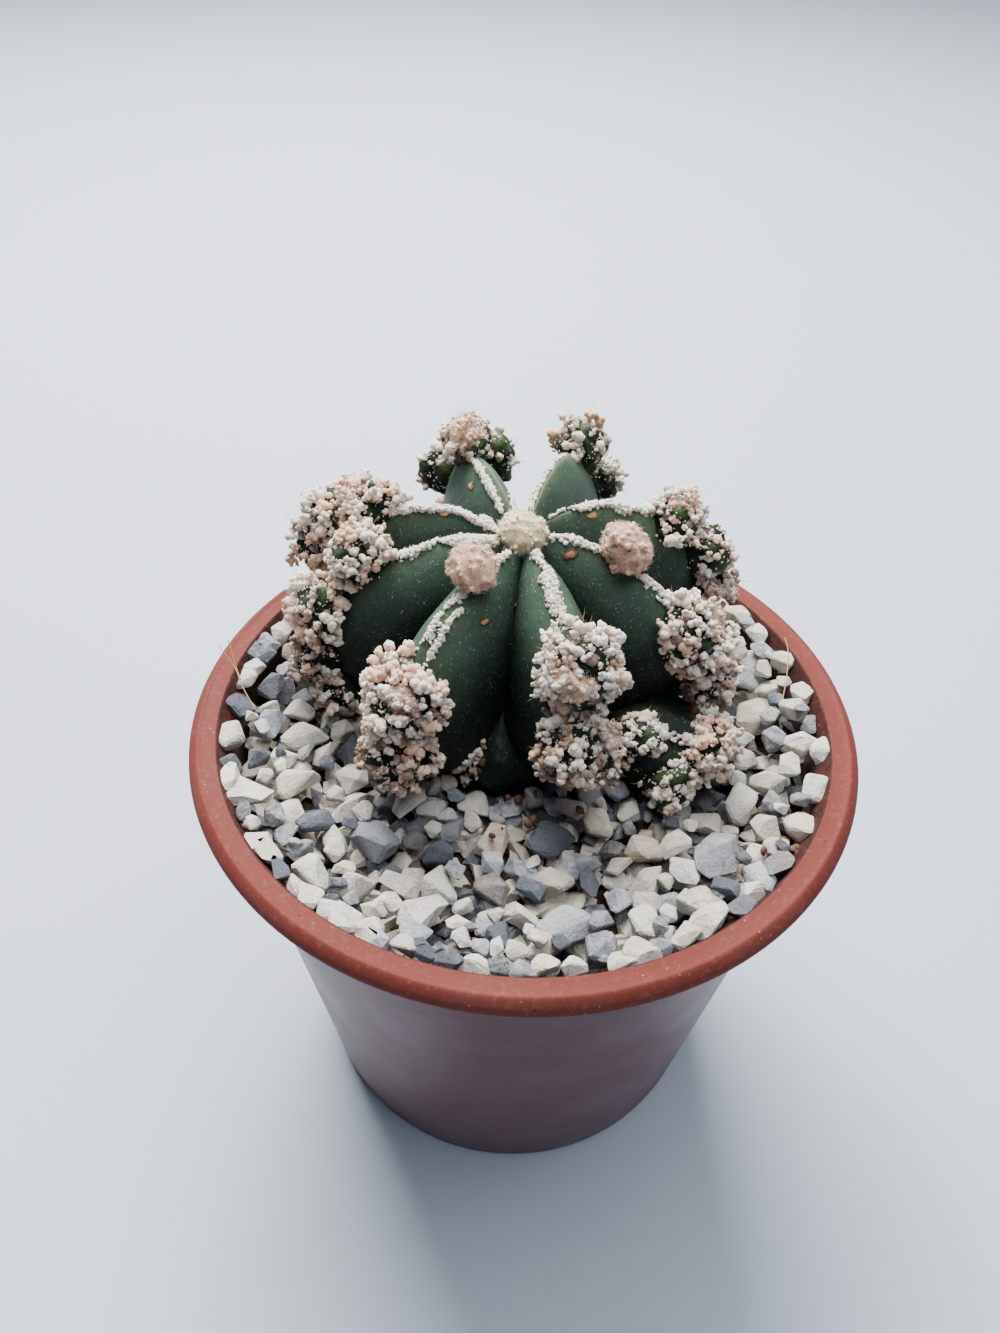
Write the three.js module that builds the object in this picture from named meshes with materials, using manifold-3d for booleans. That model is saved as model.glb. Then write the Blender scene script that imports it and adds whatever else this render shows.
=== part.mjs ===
// A potted bishop's cap cactus: a smooth green stem with eight main ribs and two small ones at its foot,
// bands and heads of white wool along the rib crests, and a top dressing of pale and grey stone chips
// over soil, in a round terracotta coloured nursery pot. Millimetres, +Z up, origin in the middle of the
// pot's underside, +Y towards the back.
import * as THREE from "three";
import { ConvexGeometry } from "three/addons/geometries/ConvexGeometry.js";
import { mergeVertices } from "three/addons/utils/BufferGeometryUtils.js";
import Module from "manifold-3d";

const wasm = await Module();
wasm.setup();

// Driving dimensions
const ROUND_SIDES = 40; // sides of every round of the pot, the soil and the gravel
const SEED = 20431;
const GAP = 0.3; // between one piece and the next
const SLIVER = 0.1; // how far a surface may move when slivers are cleared away

const pot = {
  height: 66,
  rimRadius: 42.5,
  flatOuter: 41.1, // the rim's level top, from its inner to its outer edge
  flatInner: 39.2,
  lipDrop: 2.4,
  lipUnderside: 64.5,
  wall: 0.95,
  wallTop: 38.6, // outer radius of the wall under the lip
  baseRadius: 29.75,
  footInner: 24.5,
  footHeight: 1.6,
  floorTop: 2.8,
  drainCount: 6,
  drainRing: 18,
  drainRadius: 3,
};
const fill = {
  soilTop: 57.2,
  greyBottom: 57.5,
  greyTop: 59,
  paleBottom: 59.3,
  paleTop: 60.6,
  highest: 64.4,
};
const stones = {
  sizes: [4.7, 4, 3.2], // laid in this order, the smaller ones where the larger leave room
  crowding: 0.67, // least distance between two stones, by their sizes together
  tries: 1600,
  fromWall: 3,
  fromStem: 16.8, // least distance from the stem's axis, and how much more for each millimetre of size
  fromStemBySize: 0.3,
  proud: 0.4, // least height of a stone above the bed
  greyShare: 0.28,
  corners: 8,
  flatten: [0.62, 0.85], // height by width
  tilt: 0.4,
  lying: 61,
};
// Under the stem's belly the stones stay low: from this radius on they may rise at a slope.
const belly = { radius: 17, bySize: 0.6, reach: 8, low: 60.3, slope: 0.7 };
const plant = { x: -0.8, y: 8.5, crownRadius: 3.3, crownHeight: 90 };
// The hole in the soil and the gravel for the root and the belly, and the seat cut out under the crown's
// wool, as radius and height.
const ROOT_HOLE = [[0, 34.4], [3.9, 42], [10.9, 56], [17.6, 60.2]];
const CROWN_SEAT = [[0, 70], [8, 70], [8, 89.2], [4, 88.5], [2, 87.7], [0, 86.9]];

// The rib's crest and the groove beside it, as radius and height, level by level from crown to root tip.
const CREST = [
  [0, 85.8], [4, 87.5], [9, 88.1], [14, 87], [18.4, 84.6], [21.4, 80.6], [22.9, 75.4],
  [22.9, 70], [21.2, 65.4], [16.6, 61.4], [10.2, 57.4], [5.4, 50.5], [3.2, 42], [0, 35],
];
const GROOVE = [
  [0, 85.8], [2.6, 84.9], [6.2, 83], [9.8, 79.6], [12.2, 75.4], [13.4, 71.4], [13.9, 68.4],
  [13.9, 65.6], [13.4, 63], [12.2, 60.2], [9.6, 56.8], [5.4, 50.5], [3.2, 42], [0, 35],
];
const FLANK_ROUND = 1.3; // how round a rib is across: 1 is a straight-sided ridge
const FLANK_DROP = 0.8; // how steeply its flank drops into the groove
const KEEL = 0.28; // how far a foot rib's upper outer side is drawn into a keel

// Main ribs, by azimuth in degrees at the crown and sway towards the foot. reach and belly scale the
// crest's radius above and below its shoulder, rise lifts it and slump draws the shoulder in. A head is a
// swelling on the crest with its tufts: level, radius with its wool, height above the crest, angle aside.
const RIBS = [
  {
    name: "front_right", azimuth: -70, sway: -1, reach: 1, belly: 1, rise: 0, slump: 1.6,
    heads: [[4.5, 5.3, -0.6, 1], [6.5, 5.1, -0.8, -1]],
  },
  {
    name: "right", azimuth: -17, sway: -3, reach: 0.9, belly: 0.98, rise: 0.4, slump: 1.3,
    heads: [[2.9, 3.2, 2, 0], [5.5, 5, 0.2, 0], [6.6, 4.6, 1.4, 3]],
  },
  {
    name: "back_right", azimuth: 28, sway: -6, reach: 0.96, belly: 1.1, rise: 1, slump: 0.4,
    heads: [[4.4, 4.1, 0.4, 0], [5.6, 4.2, 1, 0], [6.6, 4.2, 1.4, 0]],
  },
  {
    name: "back", azimuth: 71, sway: -2, reach: 1.02, belly: 1.08, rise: 0.8, slump: -1.8,
    heads: [[4.1, 4, 1.4, 0], [5.4, 3.8, 1, -3], [6.8, 4, 0.8, 0]],
  },
  {
    name: "back_left", azimuth: 112, sway: 1, reach: 1.08, belly: 1.08, rise: 0, slump: -2,
    heads: [[3.7, 4, 1.5, 0], [5, 3.7, 1.2, 6], [4.8, 3.5, 1, -12], [6.8, 4, 0.8, 0]],
  },
  {
    name: "left_back", azimuth: 153, sway: 4, reach: 1.05, belly: 1.18, rise: -0.6, slump: 0,
    heads: [[4.1, 4.1, 1.2, 0], [4.8, 4.2, 2.8, 1], [5.6, 4.2, 2.6, 1]],
  },
  {
    name: "left", azimuth: 184, sway: 1, reach: 1.05, belly: 1.1, rise: -0.5, slump: 2,
    heads: [[4.1, 4, 1.9, -2], [5.7, 4.5, 0.8, 0], [7, 4.5, 0.8, 0], [8, 4, 1, 3]],
  },
  {
    name: "front_left", azimuth: -123, sway: -2.5, reach: 1.02, belly: 1.05, rise: -0.5, slump: 0.4,
    heads: [[2.3, 3.2, 1.9, 0], [5.5, 5.2, -0.3, 0], [6.9, 5, 0.4, 0]],
  },
];
// Small ribs at the stem's foot, each an egg that swells out of a groove: azimuth, centre radius and
// height, half sizes out, across and up, heads as offsets from the egg's middle, and the line of its wool.
const FOOT_RIBS = [
  {
    name: "foot_front", azimuth: -98, radius: 11.4, height: 64.2, half: [9, 7.4, 6.2],
    heads: [], line: [[6, -2, 4], [8, -3.4, 1.5], [8, -4.2, -1], [7, -4.6, -3]],
  },
  {
    name: "foot_right", azimuth: -35, radius: 22.4, height: 65, half: [7.6, 6.8, 5.8],
    heads: [[-1, -4.4, 3.4, 3.4, 0], [6, 0, 2.6, 4, 0], [4, -4.8, -0.8, 3.7, 0]],
    line: [[-3, -3, 4.5], [-1, -4.4, 3.4], [2, -2.4, 4], [6, 0, 2.6], [6.4, -3, 0.6], [4, -4.8, -0.8]],
  },
];
const wool = { bandWidth: 0.85, bandSides: 5, bandStart: 0.95, bandEnd: 7.7, bandSteps: 9 };
const knobs = { lowest: 0.96, highest: 1.07, valley: 0.86 }; // by the head's radius
const spines = { perHead: 2, length: 3.6, width: 0.3, rooted: 1.4, lean: 0.75, lift: 0.3 };

const material = (color, roughness) => new THREE.MeshStandardMaterial({ color, roughness, metalness: 0 });
const finish = {
  pot: material(0xb06a52, 0.5),
  soil: material(0x3a2a22, 1),
  pale: material(0xd8d2c4, 0.9),
  grey: material(0x7f8799, 0.85),
  stem: material(0x2c4636, 0.55),
  wool: material(0xe6d8c8, 1),
  crown: material(0xe8d9b4, 1),
};

// A repeatable random draw between low and high.
let state = SEED;
function draw(low = 0, high = 1) {
  state = (state + 0x6d2b79f5) | 0;
  let t = Math.imul(state ^ (state >>> 15), 1 | state);
  t = (t + Math.imul(t ^ (t >>> 7), 61 | t)) ^ t;
  return low + (high - low) * (((t ^ (t >>> 14)) >>> 0) / 4294967296);
}

const GOLDEN = Math.PI * (3 - Math.sqrt(5));
const radians = THREE.MathUtils.degToRad;
const pair = ([x, y]) => new THREE.Vector2(x, y);
const crestLine = new THREE.SplineCurve(CREST.map(pair));
const grooveLine = new THREE.SplineCurve(GROOVE.map(pair));
const LEVELS = CREST.length - 1;
const UP = new THREE.Vector3(0, 0, 1);

// Solids and meshes
function solidOf(geometry) {
  const bare = geometry.index ? geometry.toNonIndexed() : geometry.clone();
  for (const name of Object.keys(bare.attributes)) if (name !== "position") bare.deleteAttribute(name);
  const merged = mergeVertices(bare, 1e-4);
  const vertProperties = merged.attributes.position.array;
  const build = (triVerts) => new wasm.Manifold(new wasm.Mesh({ numProp: 3, vertProperties, triVerts }));
  const made = build(new Uint32Array(merged.index.array));
  return made.volume() < 0 ? build(new Uint32Array(merged.index.array).reverse()) : made;
}

function nodeOf(name, solid, look) {
  const { vertProperties, triVerts, numProp, numVert } = solid.getMesh();
  const places = new Float32Array(numVert * 3);
  for (let i = 0; i < numVert; i += 1) {
    places.set(vertProperties.subarray(i * numProp, i * numProp + 3), i * 3);
  }
  const geometry = new THREE.BufferGeometry();
  geometry.setAttribute("position", new THREE.BufferAttribute(places, 3));
  geometry.setIndex(new THREE.BufferAttribute(triVerts, 1));
  geometry.computeVertexNormals();
  const mesh = new THREE.Mesh(geometry, look.clone());
  mesh.name = name;
  return mesh;
}

// The largest body of a solid: a scrap that a cut leaves loose is dropped, and slivers are cleared away.
function mainBody(solid) {
  const largest = (whole) => whole.decompose().sort((a, b) => b.volume() - a.volume())[0];
  return largest(largest(solid).simplify(SLIVER));
}

function joined(solids) {
  return wasm.Manifold.union(solids);
}

function turned(profile) {
  return solidOf(new THREE.LatheGeometry(profile.map(pair), ROUND_SIDES).rotateX(Math.PI / 2));
}

function ball(centre, radius, detail, turn = new THREE.Quaternion()) {
  const round = new THREE.IcosahedronGeometry(radius, detail).applyQuaternion(turn);
  return solidOf(round.translate(centre.x, centre.y, centre.z));
}

function anyTurn() {
  return new THREE.Quaternion().setFromEuler(new THREE.Euler(draw(0, 6.28), draw(0, 6.28), draw(0, 6.28)));
}

// Pot
function wallRadius(height, inset = 0) {
  const slope = (pot.wallTop - pot.baseRadius) / (pot.lipUnderside - pot.footHeight);
  return pot.baseRadius + slope * (height - pot.footHeight) - inset;
}

function potSolid() {
  const skirt = pot.height - pot.lipDrop;
  const shell = turned([
    [0, pot.footHeight],
    [pot.footInner - 1, pot.footHeight],
    [pot.footInner, 0],
    [pot.baseRadius - 0.7, 0],
    [pot.baseRadius, 0.8],
    [pot.wallTop, pot.lipUnderside],
    [pot.rimRadius - 1, pot.lipUnderside - 0.2],
    [pot.rimRadius - 0.9, skirt],
    [pot.rimRadius - 0.2, skirt],
    [pot.rimRadius, skirt + 0.5],
    [pot.rimRadius, pot.height - 1.2],
    [pot.rimRadius - 0.45, pot.height - 0.4],
    [pot.flatOuter, pot.height],
    [pot.flatInner, pot.height],
    [wallRadius(pot.height, pot.wall) + 0.5, pot.height - 0.7],
    [wallRadius(pot.height - 2.2, pot.wall), pot.height - 2.2],
    [wallRadius(pot.floorTop, pot.wall), pot.floorTop],
    [0, pot.floorTop],
  ]);
  const drains = Array.from({ length: pot.drainCount }, (_, i) => {
    const angle = (i / pot.drainCount) * 2 * Math.PI;
    const hole = new THREE.CylinderGeometry(pot.drainRadius, pot.drainRadius, 6, 12).rotateX(Math.PI / 2);
    return solidOf(hole.translate(pot.drainRing * Math.cos(angle), pot.drainRing * Math.sin(angle), 2));
  });
  return shell.subtract(joined(drains));
}

// Stem
const lerp = THREE.MathUtils.lerp;
const smooth = THREE.MathUtils.smoothstep;
const SHARES = [0, 0.2, 0.5, 0.82, 1]; // stations from a rib's crest to its groove
const ROWS = [0.45, 1.1, 1.9, 2.7, 3.5, 4.3, 5, 5.7, 6.4, 7.2, 8, 8.8, 9.6, 11, 12];

function crestPoint(rib, level) {
  const point = crestLine.getPoint(level / LEVELS);
  const above = smooth(point.y, 58.6, 66.6);
  const scale = lerp(rib.reach, rib.belly, smooth(level, 2.5, 5.5));
  const drawnIn = level < 7 ? rib.slump * Math.sin((Math.PI * level) / 7) ** 2 : 0;
  point.set(point.x * (1 + (scale - 1) * above), point.y + rib.rise * above);
  return point.addScaledVector(outward(crestLine, level), -drawnIn);
}

function azimuthAt(rib, level) {
  return rib.azimuth + rib.sway * smooth(level, 1.5, 6);
}

function outward(curve, level) {
  const tangent = curve.getTangent(level / LEVELS);
  return new THREE.Vector2(-tangent.y, tangent.x);
}

// The place at a radius and a height in the upright plane that stands at an angle round the stem's axis.
function onPlane({ x, y }, angle) {
  return new THREE.Vector3(plant.x + x * Math.cos(angle), plant.y + x * Math.sin(angle), y);
}

// A point of the stem's skin: share runs from 0 on the rib's crest to 1 in the groove, and side is the
// half of the rib, 1 or -1. grow pushes the skin outwards.
function skinPoint(order, side, share, level, grow) {
  const rib = RIBS[order];
  const here = azimuthAt(rib, level);
  const next = azimuthAt(RIBS[(order + side + RIBS.length) % RIBS.length], level);
  const gap = THREE.MathUtils.euclideanModulo(side * (next - here), 360);
  const angle = radians(here + (side * gap * share) / 2);
  const hold = (1 - share ** FLANK_ROUND) ** FLANK_DROP;
  const groove = grooveLine.getPoint(level / LEVELS).addScaledVector(outward(grooveLine, level), grow);
  const crest = crestPoint(rib, level).addScaledVector(outward(crestLine, level), grow);
  const spot = groove.lerp(crest, hold);
  return onPlane(spot.setX(Math.max(spot.x, 0)), angle);
}

function ribbedStem(grow) {
  const rows = ROWS.map((level) =>
    RIBS.flatMap((_, order) => [
      ...SHARES.slice(1).reverse().map((share) => skinPoint(order, -1, share, level, grow)),
      ...SHARES.slice(0, -1).map((share) => skinPoint(order, 1, share, level, grow)),
    ]),
  );
  const top = onPlane(new THREE.Vector2(0, CREST[0][1] + grow), 0);
  const tip = onPlane(new THREE.Vector2(0, CREST[LEVELS][1] - grow), 0);
  const places = [top, ...rows.flat(), tip];
  const around = rows[0].length;
  const end = places.length - 1;
  const at = (row, i) => 1 + row * around + (i % around);
  const faces = [];
  for (let i = 0; i < around; i += 1) {
    faces.push(0, at(0, i), at(0, i + 1), end, at(rows.length - 1, i + 1), at(rows.length - 1, i));
    for (let row = 0; row < rows.length - 1; row += 1) {
      faces.push(at(row, i), at(row + 1, i), at(row + 1, i + 1));
      faces.push(at(row, i), at(row + 1, i + 1), at(row, i + 1));
    }
  }
  return solidOf(new THREE.BufferGeometry().setFromPoints(places).setIndex(faces));
}

function footCentre(foot) {
  return onPlane(new THREE.Vector2(foot.radius, foot.height), radians(foot.azimuth));
}

// A foot rib is an egg whose upper outer side is drawn into a blunt keel.
function footRib(foot, grow) {
  const [out, across, up] = foot.half.map((size) => size + grow);
  const egg = new THREE.IcosahedronGeometry(1, 2);
  const places = egg.attributes.position;
  for (let i = 0; i < places.count; i += 1) {
    const [x, y, z] = [places.getX(i), places.getY(i), places.getZ(i)];
    const keel = 1 - KEEL * Math.abs(y) * Math.max(x + z, 0);
    places.setXYZ(i, x * keel * out, y * across, z * keel * up);
  }
  return solidOf(egg.rotateZ(radians(foot.azimuth)).translate(...footCentre(foot).toArray()));
}

// Heads: where each stands and which way it faces
function headAt(surface, facing, size, lift) {
  return { centre: surface.clone().addScaledVector(facing, lift), facing, size };
}

function outwardAt(level, angle) {
  const normal = outward(crestLine, level);
  return new THREE.Vector3(normal.x * Math.cos(angle), normal.x * Math.sin(angle), normal.y);
}

function headsOf(rib) {
  return rib.heads.map(([level, size, lift, aside]) => {
    const angle = radians(azimuthAt(rib, level) + aside);
    return headAt(onPlane(crestPoint(rib, level), angle), outwardAt(level, angle), size, lift);
  });
}

// The way from a foot rib's middle to a place given in the rib's own frame.
function footWay(foot, [out, across, up]) {
  return new THREE.Vector3(out, across, up).applyAxisAngle(UP, radians(foot.azimuth)).normalize();
}

function headsOfFoot(foot) {
  return foot.heads.map(([out, across, up, size, lift]) => {
    const way = footWay(foot, [out, across, up]);
    return headAt(footCentre(foot).addScaledVector(way, Math.hypot(out, across, up)), way, size, lift);
  });
}

for (const rib of RIBS) rib.placed = headsOf(rib);
for (const foot of FOOT_RIBS) foot.placed = headsOfFoot(foot);
const allHeads = [...RIBS, ...FOOT_RIBS].flatMap((carrier) => carrier.placed);

function stemSolid(grow) {
  return joined([ribbedStem(grow), ...FOOT_RIBS.map((foot) => footRib(foot, grow))]);
}

// Wool
function spine(root, way) {
  const needle = new THREE.ConeGeometry(spines.width / 2, spines.length, 3);
  needle.translate(0, spines.length / 2, 0);
  needle.applyQuaternion(new THREE.Quaternion().setFromUnitVectors(new THREE.Vector3(0, 1, 0), way));
  return solidOf(needle.translate(root.x, root.y, root.z));
}

// A head's wool: a ball whose corners and face middles stand out as tufts, with its spines. The egg of
// facets is cut in thirds along its edges, so each tuft has a ring of low places round it.
const plainBall = new THREE.IcosahedronGeometry(1, 0).attributes.position;
const TUFT_WAYS = [];
for (let i = 0; i < plainBall.count; i += 3) {
  const corners = [0, 1, 2].map((k) => new THREE.Vector3().fromBufferAttribute(plainBall, i + k));
  const middle = corners.reduce((sum, corner) => sum.add(corner), new THREE.Vector3());
  TUFT_WAYS.push(...corners, middle.normalize());
}

function woolHead(head) {
  const cut = new THREE.IcosahedronGeometry(1, 2);
  cut.deleteAttribute("normal");
  cut.deleteAttribute("uv");
  const round = mergeVertices(cut, 1e-4);
  const places = round.attributes.position;
  for (let i = 0; i < places.count; i += 1) {
    const way = new THREE.Vector3().fromBufferAttribute(places, i);
    const isTuft = TUFT_WAYS.some((tuft) => tuft.dot(way) > 0.99);
    const reach = head.size * (isTuft ? draw(knobs.lowest, knobs.highest) : knobs.valley);
    places.setXYZ(i, way.x * reach, way.y * reach, way.z * reach);
  }
  const { x, y, z } = head.centre;
  const parts = [solidOf(round.applyQuaternion(anyTurn()).translate(x, y, z))];
  const turn = new THREE.Quaternion().setFromUnitVectors(UP, head.facing);
  const start = draw(0, 2 * Math.PI);
  for (let i = 0; i < spines.perHead; i += 1) {
    const angle = start + (i / spines.perHead) * 2 * Math.PI;
    const [out, across] = [spines.lean * Math.cos(angle), spines.lean * Math.sin(angle)];
    const way = new THREE.Vector3(out, across, 1).applyQuaternion(turn);
    if (way.z < 0) way.setZ(-way.z * spines.lift);
    way.normalize();
    parts.push(spine(head.centre.clone().addScaledVector(way, head.size - spines.rooted), way));
  }
  return parts;
}

// A felted band: a few-sided bar through a run of places, whose lower half the stem cuts away.
function bandThrough(places, steps) {
  const corners = Array.from({ length: wool.bandSides }, (_, i) => {
    const turn = (i / wool.bandSides) * 2 * Math.PI;
    return new THREE.Vector2(wool.bandWidth * Math.cos(turn), wool.bandWidth * Math.sin(turn));
  });
  const bar = { extrudePath: new THREE.CatmullRomCurve3(places), steps, bevelEnabled: false };
  return solidOf(new THREE.ExtrudeGeometry(new THREE.Shape(corners), bar));
}

function ribBand(rib) {
  const places = Array.from({ length: wool.bandSteps + 1 }, (_, i) => {
    const level = wool.bandStart + (i / wool.bandSteps) * (wool.bandEnd - wool.bandStart);
    const angle = radians(azimuthAt(rib, level));
    return onPlane(crestPoint(rib, level), angle).addScaledVector(outwardAt(level, angle), GAP);
  });
  return bandThrough(places, wool.bandSteps);
}

function footBand(foot) {
  const centre = footCentre(foot);
  const [out, across, up] = foot.half;
  const places = foot.line.map((spot) => {
    const [x, y, z] = spot.map((value) => value / Math.hypot(...spot));
    const egg = 1 / Math.hypot(x / out, y / across, z / up);
    return centre.clone().addScaledVector(footWay(foot, spot), GAP + egg * 0.97);
  });
  return bandThrough(places, foot.line.length * 2);
}

// Gravel
function plainHole() {
  const wide = ROOT_HOLE[ROOT_HOLE.length - 1][0];
  const over = plant.crownHeight;
  return turned([...ROOT_HOLE, [wide, over], [0, over]]).translate(plant.x, plant.y, 0);
}

// How high a stone of a given size may reach at a place and still clear the heads and ribs above it.
function roomAbove(x, y, size) {
  const out = Math.hypot(x - plant.x, y - plant.y) - belly.bySize * size - belly.radius;
  let room = Math.min(fill.highest, out < belly.reach ? belly.low + belly.slope * out : fill.highest);
  for (const head of allHeads) {
    const reach = head.size * knobs.highest;
    const aside = Math.max(Math.hypot(head.centre.x - x, head.centre.y - y) - size, 0);
    if (aside < reach) room = Math.min(room, head.centre.z - Math.sqrt(reach ** 2 - aside ** 2) - GAP);
  }
  return room;
}

// A stone chip: the hull of a few points on a flattened ball.
function stoneAt({ x, y, size }, grow) {
  const points = [];
  const [wide, deep, high] = [draw(0.98, 1.15), draw(0.84, 1), draw(...stones.flatten)];
  for (let i = 0; i < stones.corners; i += 1) {
    const rise = 1 - (2 * (i + 0.5)) / stones.corners;
    const flat = Math.sqrt(1 - rise ** 2);
    const way = new THREE.Vector3(flat * Math.cos(i * GOLDEN), flat * Math.sin(i * GOLDEN), rise);
    points.push(way.multiplyScalar(size * draw(0.86, 1.1)).multiply(new THREE.Vector3(wide, deep, high)));
  }
  const { tilt } = stones;
  const turn = new THREE.Euler(draw(-tilt, tilt), draw(-tilt, tilt), draw(0, 2 * Math.PI));
  const chip = new ConvexGeometry(points).applyQuaternion(new THREE.Quaternion().setFromEuler(turn));
  chip.computeBoundingBox();
  const lift = Math.min(stones.lying, roomAbove(x, y, size) - chip.boundingBox.max.z);
  const factor = 1 + (grow * 1.6) / (size * high);
  const plain = solidOf(chip.clone().translate(x, y, lift));
  return { plain, grown: solidOf(chip.scale(factor, factor, factor).translate(x, y, lift)) };
}

// Places for the stones: large ones first, then smaller ones into the room that is left.
function gravelSpots() {
  const reach = wallRadius(fill.paleTop, pot.wall) - stones.fromWall;
  const places = Array.from({ length: stones.tries }, () => {
    const [out, angle] = [reach * Math.sqrt(draw()), draw(0, 2 * Math.PI)];
    return { x: out * Math.cos(angle), y: out * Math.sin(angle) };
  });
  const spots = [];
  for (const size of stones.sizes) {
    for (const { x, y } of places) {
      const clear = stones.fromStem + stones.fromStemBySize * size;
      const beside = Math.hypot(x - plant.x, y - plant.y) > clear;
      const free = spots.every((other) => {
        return Math.hypot(other.x - x, other.y - y) > stones.crowding * (size + other.size);
      });
      if (beside && free && roomAbove(x, y, size) > fill.paleTop + stones.proud) {
        spots.push({ x, y, size, grey: draw() < stones.greyShare });
      }
    }
  }
  return spots;
}

function bedOf(bottom, top) {
  const outer = (height) => wallRadius(height, pot.wall + GAP);
  return turned([[0, bottom], [outer(bottom), bottom], [outer(top), top], [0, top]]);
}

function gravelSolids(hole) {
  const spots = gravelSpots();
  const made = (grey) => spots.filter((spot) => spot.grey === grey).map((spot) => stoneAt(spot, GAP));
  const greyStones = made(true);
  const paleStones = made(false);
  const lowHeads = allHeads.filter((head) => head.centre.z - head.size * knobs.highest < fill.paleTop + GAP);
  const room = joined([
    hole,
    ...FOOT_RIBS.map((foot) => footRib(foot, 2 * GAP)),
    ...lowHeads.map((head) => ball(head.centre, (head.size * knobs.highest + GAP) * 1.26, 0)),
  ]);
  const grey = joined([bedOf(fill.greyBottom, fill.greyTop), ...greyStones.map((stone) => stone.plain)])
    .intersect(bedOf(fill.greyBottom, fill.highest + 1))
    .subtract(room);
  const pale = joined([bedOf(fill.paleBottom, fill.paleTop), ...paleStones.map((stone) => stone.plain)])
    .intersect(bedOf(fill.paleBottom, fill.highest + 1))
    .subtract(joined([room, ...greyStones.map((stone) => stone.grown)]));
  return { grey: mainBody(grey), pale: mainBody(pale) };
}

// The whole plant in its pot
const group = new THREE.Group();
const clearance = stemSolid(GAP * 1.2);
const hole = plainHole();
const gravel = gravelSolids(hole);
const crownSpot = onPlane(new THREE.Vector2(0, plant.crownHeight - plant.crownRadius), 0);
const crownSeat = turned(CROWN_SEAT).translate(plant.x, plant.y, 0);
const crown = ball(crownSpot, plant.crownRadius, 1).subtract(crownSeat);
const clear = joined([clearance, ball(crownSpot, plant.crownRadius + GAP * 1.5, 1)]);

group.add(nodeOf("pot", potSolid(), finish.pot));
group.add(nodeOf("soil", mainBody(bedOf(pot.floorTop + GAP / 2, fill.soilTop).subtract(hole)), finish.soil));
group.add(nodeOf("gravel_grey", gravel.grey, finish.grey));
group.add(nodeOf("gravel_pale", gravel.pale, finish.pale));
group.add(nodeOf("cactus_stem", mainBody(stemSolid(0)), finish.stem));
group.add(nodeOf("wool_crown", mainBody(crown), finish.crown));
for (const rib of RIBS) {
  const solid = joined([ribBand(rib), ...rib.placed.flatMap(woolHead)]).subtract(clear);
  group.add(nodeOf(`wool_${rib.name}`, mainBody(solid), finish.wool));
}
for (const foot of FOOT_RIBS) {
  const solid = joined([footBand(foot), ...foot.placed.flatMap(woolHead)]).subtract(clear);
  group.add(nodeOf(`wool_${foot.name}`, mainBody(solid), finish.wool));
}

export default group;
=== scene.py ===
"""A potted bishop's cap cactus in a terracotta coloured nursery pot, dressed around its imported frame.

Sizes are in millimetres, in the frame's own axes, and become metres when a mesh is finished.
"""

import logging
import math
from dataclasses import dataclass, field
from enum import Enum
from typing import Iterable, Optional, Sequence, Union

import bmesh
import bpy
import numpy as np
from mathutils import Matrix, Vector
from mathutils.bvhtree import BVHTree


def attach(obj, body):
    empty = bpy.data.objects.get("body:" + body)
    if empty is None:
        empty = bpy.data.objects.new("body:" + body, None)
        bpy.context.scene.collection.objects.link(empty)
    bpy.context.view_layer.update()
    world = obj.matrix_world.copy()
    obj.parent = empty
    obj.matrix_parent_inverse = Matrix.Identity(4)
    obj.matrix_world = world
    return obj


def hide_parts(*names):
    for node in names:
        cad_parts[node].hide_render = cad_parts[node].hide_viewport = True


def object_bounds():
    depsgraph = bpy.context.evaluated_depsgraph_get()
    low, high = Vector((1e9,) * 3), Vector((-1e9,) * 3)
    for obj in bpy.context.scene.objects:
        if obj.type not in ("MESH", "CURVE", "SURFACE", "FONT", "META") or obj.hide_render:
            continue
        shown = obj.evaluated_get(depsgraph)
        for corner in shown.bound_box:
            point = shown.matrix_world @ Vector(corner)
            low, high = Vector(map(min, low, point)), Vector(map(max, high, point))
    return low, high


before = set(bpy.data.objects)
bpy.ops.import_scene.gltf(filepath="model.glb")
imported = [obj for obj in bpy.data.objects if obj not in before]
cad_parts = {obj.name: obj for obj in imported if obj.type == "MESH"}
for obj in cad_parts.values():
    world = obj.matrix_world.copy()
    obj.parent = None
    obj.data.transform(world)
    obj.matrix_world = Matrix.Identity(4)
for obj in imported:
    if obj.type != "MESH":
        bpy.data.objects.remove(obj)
CAD_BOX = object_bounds()

MM = 0.001
SEED = 2041
BODY = "root"
PHOTO_WIDTH, PHOTO_HEIGHT = 1000, 1333
UP = np.array([0.0, 0.0, 1.0])
GOLDEN = math.pi * (3 - math.sqrt(5))

log = logging.getLogger("cactus")
logging.basicConfig(level=logging.INFO, format="%(message)s")

Array = np.ndarray
Chance = np.random.Generator
Pair = tuple[float, float]
Triple = tuple[float, float, float]
Colour = tuple[float, float, float]


# Shader maths

Number = Union[float, int]


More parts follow.
